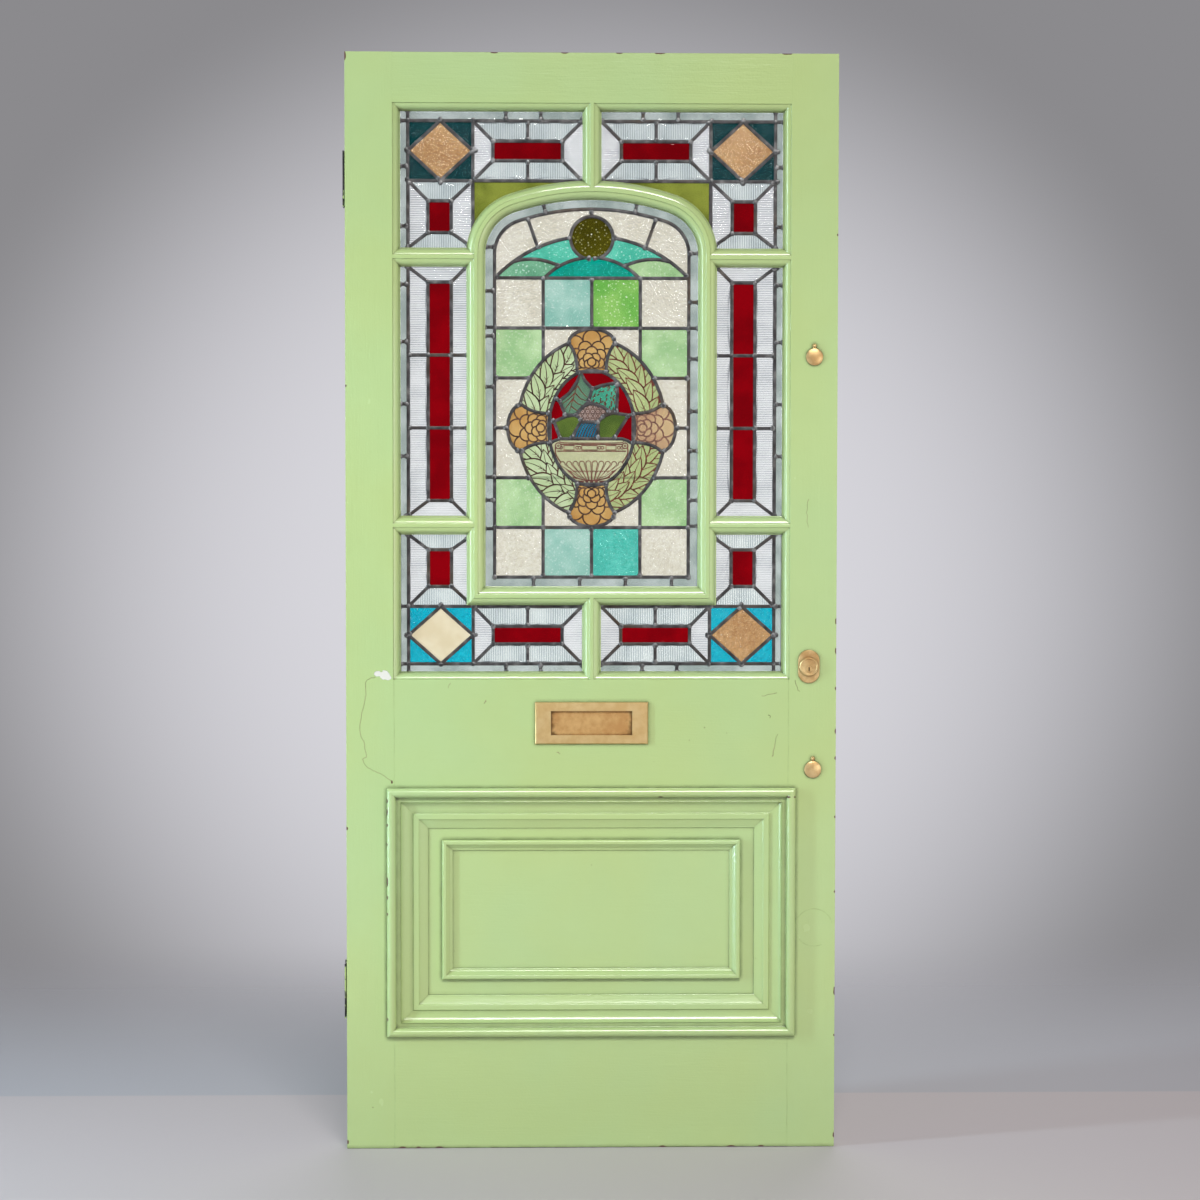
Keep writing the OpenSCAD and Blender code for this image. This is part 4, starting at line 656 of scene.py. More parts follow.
def leading():
    """Seven nets of round lead came, each with soldered joints on both faces."""
    came_finish, joint_finish = lead(), solder()
    tree, key = solder_tree(joint_finish)
    for seed, node in enumerate(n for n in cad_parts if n.startswith("cames_")):
        bm = merged_copy(node)
        joints = came_corners(bm)
        round_over(bm, LEAD_FRONT, -1)
        round_over(bm, LEAD_BACK, 1)
        finished(f"lead_{node[6:]}", bm, [came_finish], 50, replaces=[node])
        crest = DOME[-1][1] * 0.7
        points = [(p.x, y, p.y) for p in joints for y in (LEAD_FRONT - crest, LEAD_BACK + crest)]
        settings = {key["Half width"]: SOLDER_HALF_WIDTH, key["Half thickness"]: SOLDER_HALF_THICKNESS,
            key["Seed"]: seed}
        blobs = from_points(f"solder_{node[6:]}", points, tree, settings)
        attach(blobs, LEAF)


leading()


# ---- Panes ----
HAMMER = 1.7 * MM
RIPPLE = 5 * MM
RELIEF_DEPTH = {REEDED: 0.34 * MM, HAMMERED: 0.4 * MM, SMOOTH: 0.3 * MM, SEEDY: 0.4 * MM, PAINTED: 0.03 * MM}


def ribbed_points(low, high, upright):
    """Points along and across the ribs of a reeded pane."""
    across, along = RIB / 4, 7 * MM
    step = (across, along) if upright else (along, across)
    start = [math.ceil(low[i] / step[i]) for i in (0, 1)]
    end = [math.floor(high[i] / step[i]) for i in (0, 1)]
    return [Vector((i * step[0], j * step[1])) for i in range(start[0], end[0] + 1)
        for j in range(start[1], end[1] + 1)]


def scattered_points(low, high, step, spread):
    """Points on a jittered grid."""
    rows = range(math.ceil(low.y / step), math.floor(high.y / step) + 1)
    columns = range(math.ceil(low.x / step), math.floor(high.x / step) + 1)

    def astray():
        return spread.uniform(-0.2, 0.2)

    return [Vector(((i + 0.5 * (j % 2) + astray()) * step, (j + astray()) * step))
        for j in rows for i in columns]


def inside(point, line):
    """Whether a point lies in an outline."""
    odd = False
    for i, b in enumerate(line):
        a = line[i - 1]
        if (a.y > point.y) != (b.y > point.y) and point.x < (b.x - a.x) * (point.y - a.y) / (b.y - a.y) + a.x:
            odd = not odd
    return odd


def pane_relief(kind, upright):
    """How far the rolled surface lies below the pane's face, from 0 to 1, at (x, z)."""
    if kind == REEDED:
        axis = 0 if upright else 1
        return lambda p: 0.5 - 0.5 * math.cos(2 * math.pi * p[axis] / RIB)
    scale, level, strength = (210, 0.3, 0.9) if kind == HAMMERED else (45, 0.7, 0.6)
    return lambda p: min(1.0, max(0.0, 0.5 + strength * noise(Vector((p.x * scale, level, p.y * scale)))))


def reach_of(line):
    """The low and the high corner of the box round an outline."""
    across, up = [p.x for p in line], [p.y for p in line]
    return Vector((min(across), min(up))), Vector((max(across), max(up)))


def pane(bm, line, kind, slot_index, spread):
    """A closed pane with a rolled front and a flat back."""
    low, high = reach_of(line)
    upright = high.x - low.x > high.y - low.y
    if kind == REEDED:
        inner = ribbed_points(low, high, upright)
    else:
        inner = scattered_points(low, high, HAMMER if kind == HAMMERED else RIPPLE, spread)
    inner = [p for p in inner if inside(p, line)]
    corners, _, faces, *_ = delaunay_2d_cdt(list(line) + inner, [], [list(range(len(line)))], 1, 1e-7)
    relief = pane_relief(kind, upright)
    depth = RELIEF_DEPTH[kind]
    rim = len(line)
    front = [bm.verts.new((p.x, GLASS_FRONT + (depth * relief(p) if i >= rim else 0.0), p.y))
        for i, p in enumerate(corners)]
    made = [bm.faces.new([front[i] for i in face]) for face in faces]
    back = [bm.verts.new((p.x, GLASS_BACK, p.y)) for p in corners[:rim]]
    for i in range(rim):
        j = (i + 1) % rim
        made.append(bm.faces.new((front[j], front[i], back[i], back[j])))
    for face in tessellate_polygon([[Vector((p.x, p.y, 0)) for p in line]]):
        made.append(bm.faces.new([back[i] for i in reversed(face)]))
    for face in made:
        face.material_index = slot_index


def pane_outlines(node):
    """Each pane's outline as points (x, z), anticlockwise seen from the front."""
    bm = merged_copy(node)
    found = [[flat(v) for v in ring] for group in islands(bm)
        for ring in outlines([f for f in flat_faces(bm, GLASS_FRONT, -1) if f in set(group)])]
    bm.free()
    return found


def middle_of(line):
    return sum(line, Vector((0, 0))) / len(line)


CLEAR_UPRIGHT = glass("clear_glass_upright_reeds", (234, 242, 241), (174, 188, 192), REEDED, 0.84, 0.05)
CLEAR_LEVEL = glass("clear_glass_level_reeds", (244, 246, 248), (192, 198, 202), REEDED, 0.84, 0.05,
    upright=False)
RUBY = glass("ruby_glass", (148, 0, 13), (126, 0, 11), SMOOTH, 0.94, 0.04, bends=1.3)
TEAL_DARK = glass("dark_teal_glass", (1, 84, 88), (0, 50, 54), HAMMERED, 0.94, 0.05, 0.3, bends=1.22)
TEAL = glass("teal_glass", (1, 188, 168), (0, 156, 134), HAMMERED, 0.94, 0.05, 0.3, bends=1.22)
CYAN = glass("cyan_glass", (8, 212, 230), (3, 180, 208), HAMMERED, 0.85, 0.05, 0.3)
AQUA = glass("strong_turquoise_glass", (118, 228, 212), (76, 200, 184), HAMMERED, 0.8, 0.05, 0.5)
TURQUOISE = glass("light_turquoise_glass", (186, 224, 212), (150, 204, 190), SEEDY, 0.8, 0.06, 0.7)
MINT = glass("fan_turquoise_glass", (116, 222, 196), (80, 196, 170), SEEDY, 0.8, 0.05, 1.0)
AMBER = glass("amber_glass", (240, 202, 146), (198, 152, 100), HAMMERED, 0.7, 0.07, 0.8)
PALE = glass("pale_cream_glass", (255, 246, 218), (240, 226, 192), SMOOTH, 0.7, 0.1)
CREAM = glass("cream_glass", (255, 252, 240), (232, 228, 210), HAMMERED, 0.82, 0.08, 0.4)
OLIVE = glass("olive_glass", (156, 166, 70), (120, 132, 48), SMOOTH, 0.8, 0.05)
OLIVE_FRUIT = glass("olive_fruit_glass", (108, 130, 58), (78, 102, 46), SMOOTH, 0.85, 0.06)
ROUNDEL = glass("dark_olive_glass", (92, 88, 12), (66, 62, 6), SEEDY, 0.85, 0.04, 1.0)
BORDER = glass("blue_grey_glass", (206, 216, 214), (170, 184, 180), SMOOTH, 0.8, 0.03)
BRIGHT_GREEN = glass("bright_green_glass", (160, 214, 116), (120, 194, 88), SEEDY, 0.8, 0.05, 1.0)
GREEN = glass("pale_green_glass", (204, 234, 184), (168, 210, 152), SEEDY, 0.8, 0.06, 0.6)
LEAF_GREEN = glass("fan_green_glass", (140, 200, 164), (108, 174, 138), SEEDY, 0.8, 0.05, 1.0)
SHELL = glass("shell_amber_glass", (226, 188, 122), (206, 158, 92), PAINTED, 0.55, 0.12)
SHELL_FADED = glass("faded_shell_glass", (222, 194, 150), (200, 160, 128), PAINTED, 0.55, 0.12)
LAUREL = glass("laurel_glass", (220, 236, 194), (200, 220, 170), PAINTED, 0.6, 0.12)
LAUREL_OLIVE = glass("olive_laurel_glass", (208, 220, 164), (190, 204, 144), PAINTED, 0.6, 0.12)
BOWL = glass("bowl_glass", (222, 222, 184), (202, 204, 162), PAINTED, 0.6, 0.12)
DARK_LEAF = glass("dark_leaf_glass", (112, 150, 124), (72, 116, 92), PAINTED, 0.6, 0.1)
LIGHT_LEAF = glass("light_leaf_glass", (100, 192, 164), (70, 166, 138), PAINTED, 0.6, 0.1)
BERRIES = glass("mauve_berry_glass", (218, 194, 186), (196, 168, 160), PAINTED, 0.6, 0.12)
BLUE = glass("blue_fruit_glass", (30, 134, 170), (18, 104, 140), PAINTED, 0.6, 0.1)

FAN_FOOT_Z = 1.6205


def glass_for(node, centre, wide=True):
    """The finish of the pane of this node at this place."""
    x, z = centre
    upper = z > MIDDLE_Z
    if node == "glass_reeded":
        return CLEAR_UPRIGHT if wide else CLEAR_LEVEL
    if node == "glass_teal":
        if abs(x) < 0.12:
            return TEAL if upper else AQUA
        return TEAL_DARK if upper or abs(x) < 0.2 else CYAN
    if node == "glass_amber":
        return AMBER if x > 0 or upper else PALE
    if node == "glass_olive":
        if z < WREATH_Z + 0.1:
            return OLIVE_FRUIT
        return ROUNDEL if abs(x) < 0.02 else OLIVE
    if node == "glass_green":
        if z > FAN_FOOT_Z:
            return LEAF_GREEN if x < 0 else GREEN
        return BRIGHT_GREEN if abs(x) < 0.08 else GREEN
    if node == "glass_turquoise":
        return MINT if z > FAN_FOOT_Z else TURQUOISE
    if node == "glass_shells":
        return SHELL_FADED if x > 0.08 else SHELL
    if node == "glass_laurel":
        return LAUREL if x < 0 else LAUREL_OLIVE
    if node == "glass_flowers":
        if z < WREATH_Z + 0.014 and x < 0:
            return BLUE
        if z < WREATH_Z + 0.036:
            return BERRIES
        return DARK_LEAF if x < -0.01 else LIGHT_LEAF
    return {"glass_ruby": RUBY, "glass_border": BORDER, "glass_bowl": BOWL}.get(node, CREAM)


def glazing():
    """Every pane, as rolled glass."""
    spread = random.Random(7)
    for node in sorted(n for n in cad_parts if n.startswith("glass_")):
        bm = bmesh.new()
        used = []
        for line in pane_outlines(node):
            low, high = reach_of(line)
            finish = glass_for(node, middle_of(line), high.x - low.x > high.y - low.y)
            kind = rolled[finish.name]
            if finish not in used:
                used.append(finish)
            pane(bm, line, kind, used.index(finish), spread)
        finished(f"panes_{node[6:]}", bm, used, 40, replaces=[node])


glazing()


# ---- Fired painting on the medallion ----
# Outlines here are in millimetres about the medallion's centre, X to the right and Z up.
def circle(x, z, radius, count=28):
    turns = [2 * math.pi * i / count for i in range(count)]
    return [Vector((x + radius * math.cos(t), z + radius * math.sin(t))) for t in turns]


def curve(points, steps=6):
    """A smooth line through a few points."""
    line = [Vector(p) for p in points]
    line = [2 * line[0] - line[1], *line, 2 * line[-1] - line[-2]]
    made = []
    for a, b, c, d in zip(line, line[1:], line[2:], line[3:]):
        for i in range(steps):
            t = i / steps
            made.append(0.5 * (2 * b + (c - a) * t + (2 * a - 5 * b + 4 * c - d) * t ** 2
                + (3 * b - a - 3 * c + d) * t ** 3))
    made.append(line[-2])
    return made


def stroke(line, width, end_width=None):
    """The outline of a brush stroke along a line."""
    end_width = width if end_width is None else end_width
    left, right = [], []
    for i, here in enumerate(line):
        run = line[min(i + 1, len(line) - 1)] - line[max(i - 1, 0)]
        side = leftward(run.normalized()) * (width + (end_width - width) * i / (len(line) - 1)) / 2
        left.append(here + side)
        right.append(here - side)
    return right + left[::-1]


def ring(x, z, radius, width):
    """A drawn circle: its outer outline and the inner one that clears its middle."""
    return [(circle(x, z, radius + width / 2), True), (circle(x, z, radius - width / 2), False)]


LEAF_WIDTH, LEAF_OUTLINE = 22.0, 2.5


def leaf_line(base, tip, width, bend, count=9):
    """A pointed leaf from base to tip, bent to the left by a share of its length."""
    run = tip - base
    side = leftward(run)
    left, right, rib = [], [], []
    for i in range(count + 1):
        t = i / count
        middle = base + run * t + side * bend * math.sin(math.pi * t)
        half = leftward(run.normalized()) * (width / 2) * math.sin(math.pi * t ** 0.9) ** 0.85
        rib.append(middle)
        if 0 < i < count:
            left.append(middle + half)
            right.append(middle - half)
    return [base, *right, tip, *left[::-1]], rib


def drawn_leaf(base, tip, bend):
    """A leaf cleared out of the dark ground, with its outline and its ribs drawn."""
    run = (tip - base).normalized()
    line, rib = leaf_line(base, tip, LEAF_WIDTH, bend)
    wide, _ = leaf_line(base, tip + run * LEAF_OUTLINE, LEAF_WIDTH + 2 * LEAF_OUTLINE, bend)
    shapes = [(wide, True), (line, False), mark(rib, 1.8, 0.9)]
    for start in rib[2:4]:
        for turn in (0.6, -0.6):
            shapes.append(mark([start, start + (run + leftward(run) * turn) * LEAF_WIDTH * 0.32], 1.1, 0.5))
    return shapes


def mark(points, width, end=None):
    """A painted stroke straight from point to point."""
    return stroke([Vector(p) for p in points], width, end), True


def bent_mark(points, width, end=None):
    """A painted stroke that curves through the points."""
    return mark(curve(points), width, end)


def fire(bm, pane_line, shapes, slot_index):
    """Lays the painted areas of one pane on its face. The last shape over a place decides it."""
    outline = [(p - Vector((0, WREATH_Z))) / MM for p in pane_line]
    paint_flat(bm, outline, shapes, (GLASS_FRONT - 0.1 * MM, GLASS_FRONT + 0.05 * MM), WREATH_Z, slot_index)


def paint_flat(bm, outline, shapes, depths, zero_z, slot_index):
    """Thin closed areas of paint between two depths, cut to an outline."""
    points, edges = [], []
    for line in [outline] + [shape for shape, _ in shapes]:
        start = len(points)
        points += line
        edges += [(start + i, start + (i + 1) % len(line)) for i in range(len(line))]
    corners, _, faces, *_ = delaunay_2d_cdt(points, edges, [], 0, 1e-4)
    boxes = [(min(p.x for p in shape), max(p.x for p in shape), min(p.y for p in shape),
        max(p.y for p in shape)) for shape, _ in shapes]

    def wet(p):
        if not inside(p, outline):
            return False
        for (shape, ink), (x0, x1, z0, z1) in zip(reversed(shapes), reversed(boxes)):
            if x0 < p.x < x1 and z0 < p.y < z1 and inside(p, shape):
                return ink
        return False

    covered = [f for f in faces if wet((corners[f[0]] + corners[f[1]] + corners[f[2]]) / 3)]
    runs = {(f[i], f[(i + 1) % 3]) for f in covered for i in range(3)}
    made = {}

    def corner(i, layer):
        if (i, layer) not in made:
            made[i, layer] = bm.verts.new((corners[i].x * MM, depths[layer], zero_z + corners[i].y * MM))
        return made[i, layer]

    walls = [(b, a) for a, b in runs if (b, a) not in runs]
    quads = [[corner(i, 0) for i in f] for f in covered]
    quads += [[corner(i, 1) for i in reversed(f)] for f in covered]
    quads += [[corner(b, 0), corner(a, 0), corner(a, 1), corner(b, 1)] for b, a in walls]
    for quad in quads:
        bm.faces.new(quad).material_index = slot_index


SCALE_LINE = 2.6
SHELL_SEAT_UPRIGHT, SHELL_SEAT_ACROSS = 107, 80


def scallop_shell(middle):
    """Five lobes and rows of scales of a shell that stands outwards on the inner oval."""
    out = Vector((0, 1)) if abs(middle.y) > abs(middle.x) else Vector((1, 0))
    out = out * (1 if out.dot(middle) > 0 else -1)
    across = Vector((out.y, -out.x))
    seat = SHELL_SEAT_UPRIGHT if out.y else SHELL_SEAT_ACROSS

    def place(u, v):
        return across * u + out * (seat + v)

    shapes = []
    for reach, half, turns in ((50, 15.0, (14, 166, 52, 128, 90)), (35, 11.0, (34, 146, 70, 110)),
            (25, 9.5, (14, 166, 52, 128, 90)), (15.5, 8.0, (20, 160, 65, 115)), (7, 6.5, (30, 150, 90))):
        for degrees in turns:
            turn = math.radians(degrees)
            centre = place(reach * math.cos(turn), 8 + reach * math.sin(turn))
            shapes += [(circle(*centre, half + SCALE_LINE), True), (circle(*centre, half), False)]
    return shapes


def laurel(middle):
    """Two rows of leaves that climb the wreath, on a dark ground."""
    side = 1 if middle.x > 0 else -1
    first, last = (0, 100) if middle.y > 0 else (-100, 0)
    shapes = [(circle(0, 0, 260, count=12), True)]
    spread = random.Random(11 if side > 0 else 5)

    def stem(degrees):
        turn = math.radians(degrees)
        return Vector((side * 102.5 * math.cos(turn), 129.5 * math.sin(turn)))

    step = 12.8
    stations = [first + step * i for i in range(int((last - first) / step) + 1)]
    for degrees in reversed(stations):
        here = stem(degrees)
        run = (stem(degrees + 1) - here).normalized()
        for turn, shift in ((-0.8, 3.0), (0.8, 9.0), (-0.36, 0.0), (0.4, 6.0)):
            aim = Matrix.Rotation(turn, 2) @ run
            base = stem(degrees + shift) + aim * 0.5
            tip = base + aim * (60 + spread.uniform(-3, 3))
            shapes += drawn_leaf(base, tip, -0.08 if turn > 0 else 0.08)
    return shapes


def gadroon(x, half, rise, half_foot, low):
    """One lobe of the bowl, round at the top and narrow at the foot."""
    top, foot = -60.0 - abs(x) * 0.03, x * 0.42
    turns = [math.pi * (1 - k / 8) for k in range(9)]
    arch = [Vector((x + half * math.cos(t), top - 6 + rise * math.sin(t))) for t in turns]
    return [Vector((x - half, top - 7)), *arch, Vector((x + half, top - 7)),
        Vector((foot + half_foot, low)), Vector((foot - half_foot, low))]


def gadrooned_bowl():
    """A rim with beads, a row of gadroons and a foot."""
    shapes = [mark([(-64, height), (64, height)], 2.3) for height in (-30.5, -43.0)]
    bead_z = -36.7
    for x, half in ((-4, 15), (36, 10), (-42, 10)):
        shapes.append(mark([(x - half, bead_z), (x + half, bead_z)], 9.6))
        shapes.append((mark([(x - half + 1.4, bead_z), (x + half - 1.4, bead_z)], 6.4)[0], False))
    for x in (-27, -22.5, 14.5, 20, -57, 50.5, 56.5):
        shapes += ring(x, bead_z, 2.6, 1.8)
    shapes.append(bent_mark([(-60, -24.5), (-52, -27.5), (0, -28), (52, -27.5), (60, -24.5)], 1.9))
    for side in (-1, 1):
        shapes += ring(side * 62, -33, 5.2, 2.2) + ring(side * 62, -33, 1.6, 1.5)
        outline = [(side * x, z) for x, z in ((67, -36), (66, -50), (52, -70), (30, -92))]
        shapes.append(bent_mark(outline, 2.4))
    for i in range(10):
        x = -54 + 12.0 * i
        low = -99 + abs(x) * 0.16
        shapes.append((gadroon(x, 5.6, 6, 2.6, low), True))
        shapes.append((gadroon(x, 4.0, 4.3, 1.4, low + 0.8)[::-1], False))
        shapes.append(mark([(x * 0.74 - 3.6, -81.5), (x * 0.74, -79.6), (x * 0.74 + 3.6, -81.5)], 1.7))
    shapes.append(bent_mark([(-34, -91), (-20, -95), (0, -97), (20, -95), (34, -91)], 2.4))
    shapes.append(([Vector(p) for p in ((-30, -97.5), (30, -97.5), (34, -112), (-34, -112))], True))
    return shapes + [(circle(x, -100.5, 1.8, count=10), False) for x in (-13, -4.5, 4.5, 13)]


def fruit_marks(finish):
    """Veins, berries or streaks, by what the pane shows."""
    spread = random.Random(3)
    shapes = []
    if finish is DARK_LEAF:
        for points in (((-22, 100), (-30, 70), (-42, 28)), ((-27, 76), (-38, 66), (-52, 52)),
                ((-30, 66), (-42, 54), (-55, 44)), ((-33, 56), (-42, 45), (-52, 32)),
                ((-26, 78), (-18, 66), (-8, 56)), ((-30, 64), (-20, 54), (-6, 50)),
                ((-34, 52), (-24, 44), (-10, 40)), ((-38, 40), (-30, 34), (-18, 28))):
            shapes.append(bent_mark(points, 2.2, 0.9))
    elif finish is LIGHT_LEAF:
        for _ in range(84):
            start = Vector((spread.uniform(-6, 48), spread.uniform(28, 86)))
            turn = math.atan2(start.y - 88, start.x - 44) + spread.uniform(-0.5, 0.5)
            end = start + Vector((math.cos(turn), math.sin(turn))) * spread.uniform(4, 8)
            shapes.append(mark([start, (start + end) / 2 + Vector((0.6, 0.4)), end], 3.0, 1.3))
    elif finish is BERRIES:
        for row in range(4):
            for column in range(-4, 5):
                x, z = column * 9.6 + (row % 2) * 4.8 + 2, 14 + row * 8.3
                shapes += ring(x, z, 3.9, 1.7) + [(circle(x, z, 1.2, count=10), True)]
    else:
        for i in range(9):
            x = -30 + i * 5.2
            shapes.append(bent_mark([(x + 14, 12), (x + 5, 0), (x - 3, -20)], 1.0, 2.5 - 0.3 * (i % 3)))
    return shapes


INK_SHELL = kiln_paint("shell_lines", (96, 66, 52), (62, 40, 32))
INK_FADED = kiln_paint("faded_lines", (150, 106, 92), (122, 82, 74), 0.3)
INK_DARK = kiln_paint("laurel_ground", (78, 38, 30), (46, 18, 16))
INK_RED = kiln_paint("red_laurel_ground", (122, 62, 46), (92, 40, 32))
INK_MAUVE = kiln_paint("bowl_lines", (130, 78, 66), (98, 54, 48))


def from_wreath(line):
    """A pane's middle in millimetres from the wreath's."""
    return (middle_of(line) - Vector((0, WREATH_Z))) / MM


def medallion():
    """The fired painting of the shells, the laurels, the bowl and the fruit."""
    painted = bmesh.new()
    inks = [INK_SHELL, INK_FADED, INK_DARK, INK_RED, INK_MAUVE]
    for line in pane_outlines("glass_shells"):
        middle = from_wreath(line)
        fire(painted, line, scallop_shell(middle), 1 if middle.x > 40 else 0)
    for line in pane_outlines("glass_laurel"):
        middle = from_wreath(line)
        fire(painted, line, laurel(middle), 2 if middle.x < 0 else 3)
    for line in pane_outlines("glass_bowl"):
        fire(painted, line, gadrooned_bowl(), 4)
    for line in pane_outlines("glass_flowers"):
        finish = glass_for("glass_flowers", middle_of(line))
        fire(painted, line, fruit_marks(finish), 3 if finish in (LIGHT_LEAF, DARK_LEAF) else 0)
    finished("fired_painting", painted, inks)


medallion()


# ---- Cracks and old joints in the paint ----
def wander(points, spread, sway, steps=5):
    """A line through the points that strays a little."""
    def astray():
        return spread.uniform(-sway, sway)

    return [p + Vector((astray(), astray())) for p in curve(points, steps)]


def line_paint(name, mottle, one, other, rough):
    """Paint of two mottled tones. The mottle is a noise scale and the two values that it runs between."""
    f = Finish(name)
    scale, low, high = mottle
    colour = f.mix(f.between(f.noise(scale, 3), low, high), srgb(*one), srgb(*other))
    return f.surface(Base_Color=colour, Roughness=rough)


# Each crack's points in millimetres from the leaf's middle and foot, and its widths.
PAINT_CRACKS = (
    (((-401, 881), (-417, 875), (-418, 851), (-422, 832), (-430, 786), (-423, 761), (-417, 735), (-424, 729),
        (-414, 713), (-393, 702), (-369, 687)), 0.9, 0.6),
    (((337, 733), (341, 752), (346, 775)), 1.2, 0.5),
    (((378, 876), (383, 860), (388, 854)), 1.0, 0.6),
    (((345, 851), (316, 846)), 0.9, 0.5),
    (((-196, 838), (-199, 832)), 1.6, 1.0),
    (((-262, 870), (-266, 862)), 0.8, 0.4),
    (((-64, 742), (-58, 739)), 1.1, 0.7),
    (((402, 1212), (399, 1187), (401, 1160)), 0.7, 0.4),
    (((330, 812), (333, 804)), 1.4, 0.9),
)
JOINT_LINES = (
    ((-366.5, 664), (-366, 740), (-366.5, 878)),
    ((366, 664), (366.4, 760), (366, 878)),
    ((-366.5, 4), (-366, 100), (-366.4, 205)),
    ((366, 4), (366.5, 100), (366, 205)),
)
FILLED_HOLE_X, FILLED_HOLE_Z, FILLED_HOLE_RADIUS = 415.5, 412.7, 35


def paint_cracks():
    """Lifted cracks, the edge of a filled hole and the lines of the joints, thin on the face."""
    spread = random.Random(19)
    shapes = []
    for points, start, end in PAINT_CRACKS:
        shapes.append((stroke(wander(points, spread, 1.1), start, end), True))
    outline = [Vector(p) for p in ((-454, 2), (454, 2), (454, 2030), (-454, 2030))]
    turns = [2 * math.pi * i / 72 for i in range(3, 60)]
    edges = [(stroke([Vector((FILLED_HOLE_X + FILLED_HOLE_RADIUS * math.cos(t),
        FILLED_HOLE_Z + FILLED_HOLE_RADIUS * math.sin(t))) for t in turns], 0.7), True)]
    for points in JOINT_LINES:
        edges.append((stroke(wander(points, spread, 0.25, 8), 0.55, 0.45), True))
    bm = bmesh.new()
    depths = (FACE_Y - 0.09 * MM, FACE_Y + 0.05 * MM)
    paint_flat(bm, outline, shapes, depths, 0.0, 0)
    paint_flat(bm, outline, edges, depths, 0.0, 1)
    dark = line_paint("cracked_paint", (120, 0.4, 0.6), (112, 124, 70), (144, 130, 92), 0.6)
    faint = line_paint("joint_line_paint", (60, 0.35, 0.65), (146, 172, 106), (174, 202, 132), 0.4)
    finished("paint_cracks", bm, [dark, faint])


paint_cracks()


# ---- Brass and steel ----
EDGE_ANGLE = 30


def eased(node, finish, width, body):
    """A brass node's own shape with its edges worn round."""
    piece = finished(f"worn_{node}", merged_copy(node), [finish], body=body, replaces=[node])
    smooth_up_to(piece.data, EDGE_ANGLE)
    rounding = piece.modifiers.new("worn_edges", "BEVEL")
    rounding.limit_method = "ANGLE"
    rounding.angle_limit = math.radians(EDGE_ANGLE)
    rounding.width = width * MM
    rounding.segments = 2
    rounding.harden_normals = True


def coat(finish, *nodes):
    """Gives nodes that keep their shape a better finish."""
    for node in nodes:
        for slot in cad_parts[node].material_slots:
            slot.material = finish


def metalwork():
    """Worn edges on the brass that shows, and better finishes on the rest of the metal."""
    plate = brass("letter_plate_brass", (232, 202, 146), (218, 182, 124), 0.4)
    # The flap's box makes it darker towards its rim, as painted shadow of the plate.
    flap = brass("letter_flap_brass", (226, 186, 126), (204, 156, 98), 0.42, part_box("letter_flap"))
    fitting = brass("lock_fitting_brass", (238, 208, 152), (204, 162, 106), 0.3)
    hidden = brass("plain_brass", (206, 172, 112), (160, 122, 72), 0.45)
    for node, finish, width, body in (
            ("letter_plate", plate, 0.6, LEAF), ("letter_flap", flap, 0.4, "flap"),
            ("key_plates", fitting, 0.3, LEAF), ("key_cover_upper", fitting, 0.8, "upper_key_cover"),
            ("key_cover_lower", fitting, 0.8, "lower_key_cover"), ("cover_pivots", fitting, 0.3, LEAF),
            ("cylinder_pull", fitting, 0.6, LEAF), ("cylinder_body", fitting, 0.3, LEAF),
            ("cylinder_plug", fitting, 0.25, "plug")):
        eased(node, finish, width, body)
    coat(hidden, "letter_bolts", "lock_bolt_upper", "lock_bolt_lower")
    coat(steel("painted_hinge_steel", (84, 82, 84), (48, 46, 50), True),
        "hinge_frame_leaves", "hinge_door_leaves", "hinge_pins", "hinge_screws")
    coat(steel("bare_steel", (150, 150, 152), (98, 96, 98)),
        "flap_rod", "flap_springs", "cylinder_back_plate", "cylinder_screws", "lock_cases")
    coat(steel("black_steel", (58, 54, 52), (34, 31, 30)), "saddle_bar")
    coat(gloss_paint("wedge_paint", True), "tenon_wedges")


metalwork()


# ---- Stage ----
def make_stage():
    """A pale floor, darker beyond a line behind the door, which fades away further back."""
    floor_paint = Finish("studio_floor")
    _, y, _ = floor_paint.axes()
    far_edge = 0.43
    share = floor_paint.between(y, far_edge - 0.012, far_edge)
    tone = floor_paint.mix(share, srgb(196, 187, 191), srgb(180, 178, 186))
    shader = floor_paint.node("ShaderNodeBsdfPrincipled", sockets={"Base Color": tone, "Roughness": 0.7})
    gone = floor_paint.node("ShaderNodeBsdfTransparent")
    fade = floor_paint.between(y, 0.5, 2.4)
    mixed = floor_paint.node("ShaderNodeMixShader", sockets={0: fade, 1: shader, 2: gone})
    floor_paint.node("ShaderNodeOutputMaterial", sockets={"Surface": mixed})
    bm = bmesh.new()
    bmesh.ops.create_grid(bm, x_segments=1, y_segments=1, size=9, matrix=Matrix.Translation((0, 0, -0.0005)))
    mesh = bpy.data.meshes.new("floor")
    bm.to_mesh(mesh)
    bm.free()
    mesh.materials.append(floor_paint.material)
    linked("floor", mesh)


def soft_light(name, place, target, size, power, colour):
    lamp = bpy.data.lights.new(name, "AREA")
    lamp.shape = "RECTANGLE"
    lamp.size, lamp.size_y = size
    lamp.energy = power
    lamp.color = colour
    holder = linked(name, lamp)
    holder.location = place
    holder.rotation_euler = (Vector(target) - Vector(place)).to_track_quat("-Z", "Y").to_euler()
    holder.visible_camera = False
    holder.visible_transmission = False


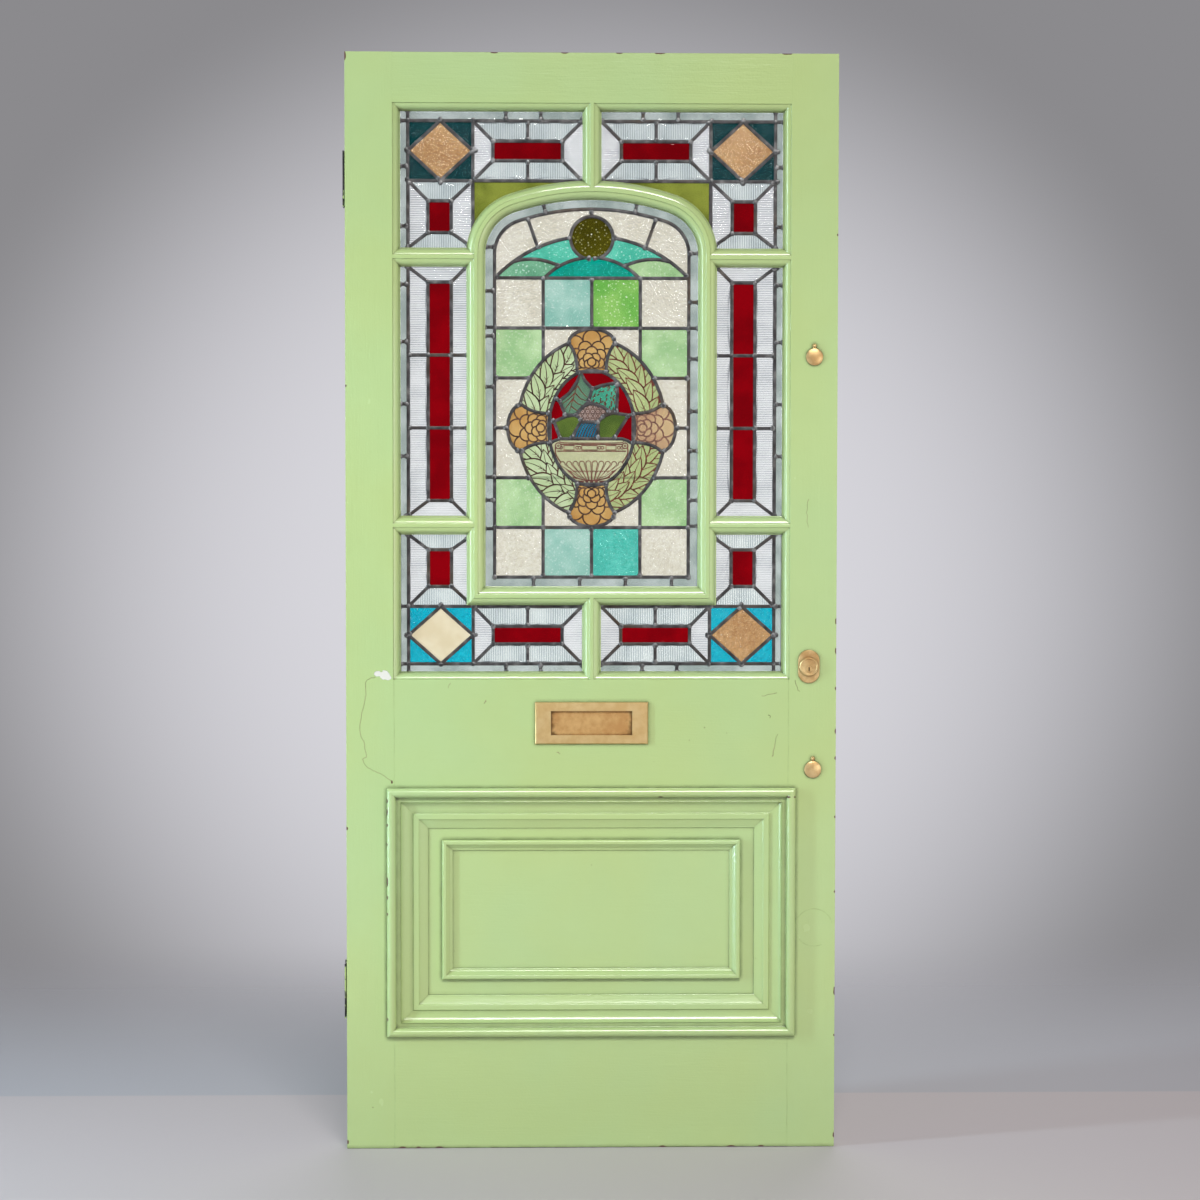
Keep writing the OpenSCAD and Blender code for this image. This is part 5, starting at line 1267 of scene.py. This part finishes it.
def light_studio():
    """Each lamp's name, place, target, size, power and colour."""
    for lamp in (
            ("key_lamp", (0.6, -5.5, 5.2), (0, 0, 0.0), (2.4, 1.3), 282, (1.0, 0.99, 0.95)),
            ("front_left_lamp", (-2.2, -3.7, 1.1), (0, 0, 1.0), (1.4, 1.5), 8, (0.97, 0.99, 1.0)),
            ("front_right_lamp", (2.2, -3.7, 1.1), (0, 0, 1.0), (1.4, 1.5), 24, (1.0, 0.98, 0.95)),
            ("left_lamp", (-2.5, -0.9, 1.3), (0, 0, 1.1), (0.22, 2.4), 50, (0.68, 0.92, 1.0)),
            ("right_lamp", (3.0, -1.6, 1.3), (0, 0, 1.1), (1.2, 2.2), 12, (1.0, 0.95, 0.84)),
            ("back_lamp", (0.5, 3.6, 2.2), (0, 0, 1.1), (3.0, 2.2), 50, (1, 1, 1))):
        soft_light(*lamp)


def make_world():
    """An even grey lilac, with painted light on it: a little paler round the door and darker above."""
    world = bpy.data.worlds.new("studio")
    bpy.context.scene.world = world
    world.use_nodes = True
    tree = world.node_tree
    tree.nodes.clear()
    sky = Finish.__new__(Finish)
    sky.tree = tree
    sky.here = sky.node("ShaderNodeTexCoord", out="Generated")
    x, y, z = sky.axes()
    # Painted light on the backdrop: paler round the door and darker above for camera rays, and brighter still
    # for rays through the glass.
    aside, above = x - 0.016, z + 0.036
    share = sky.between(aside * aside * 15.5 + above * above * 17.6, 0.0, 1.0)
    seen = sky.mix(share, srgb(217, 216, 222), srgb(139, 138, 141))
    path = tree.nodes.new("ShaderNodeLightPath")
    camera_ray = Signal(tree, path.outputs["Is Camera Ray"])
    through_ray = Signal(tree, path.outputs["Is Transmission Ray"])
    glossy_ray = Signal(tree, path.outputs["Is Glossy Ray"])
    behind_door = sky.between(y, -0.3, 0.1)
    colour = sky.mix(camera_ray, (0.125, 0.125, 0.13), seen)
    colour = sky.mix(glossy_ray, colour, sky.mix(behind_door, (0.07, 0.07, 0.075), seen))
    colour = sky.mix(through_ray, colour, sky.mix(share, (1.0, 1.0, 1.0), srgb(196, 195, 200)))
    backdrop = sky.node("ShaderNodeBackground", sockets={"Color": colour, "Strength": 1.0})
    sky.node("ShaderNodeOutputWorld", sockets={"Surface": backdrop})


def make_camera():
    eye = bpy.data.cameras.new("camera")
    eye.lens = 81
    eye.sensor_width = 36
    camera = linked("camera", eye)
    camera.location = (-0.1053, -5.0226, 1.2396)
    camera.rotation_euler = (math.radians(90 - 2.46), math.radians(-0.07), math.radians(-1.38))
    bpy.context.scene.camera = camera


make_stage()
light_studio()
make_world()
make_camera()
bpy.context.scene.view_settings.view_transform = "Standard"
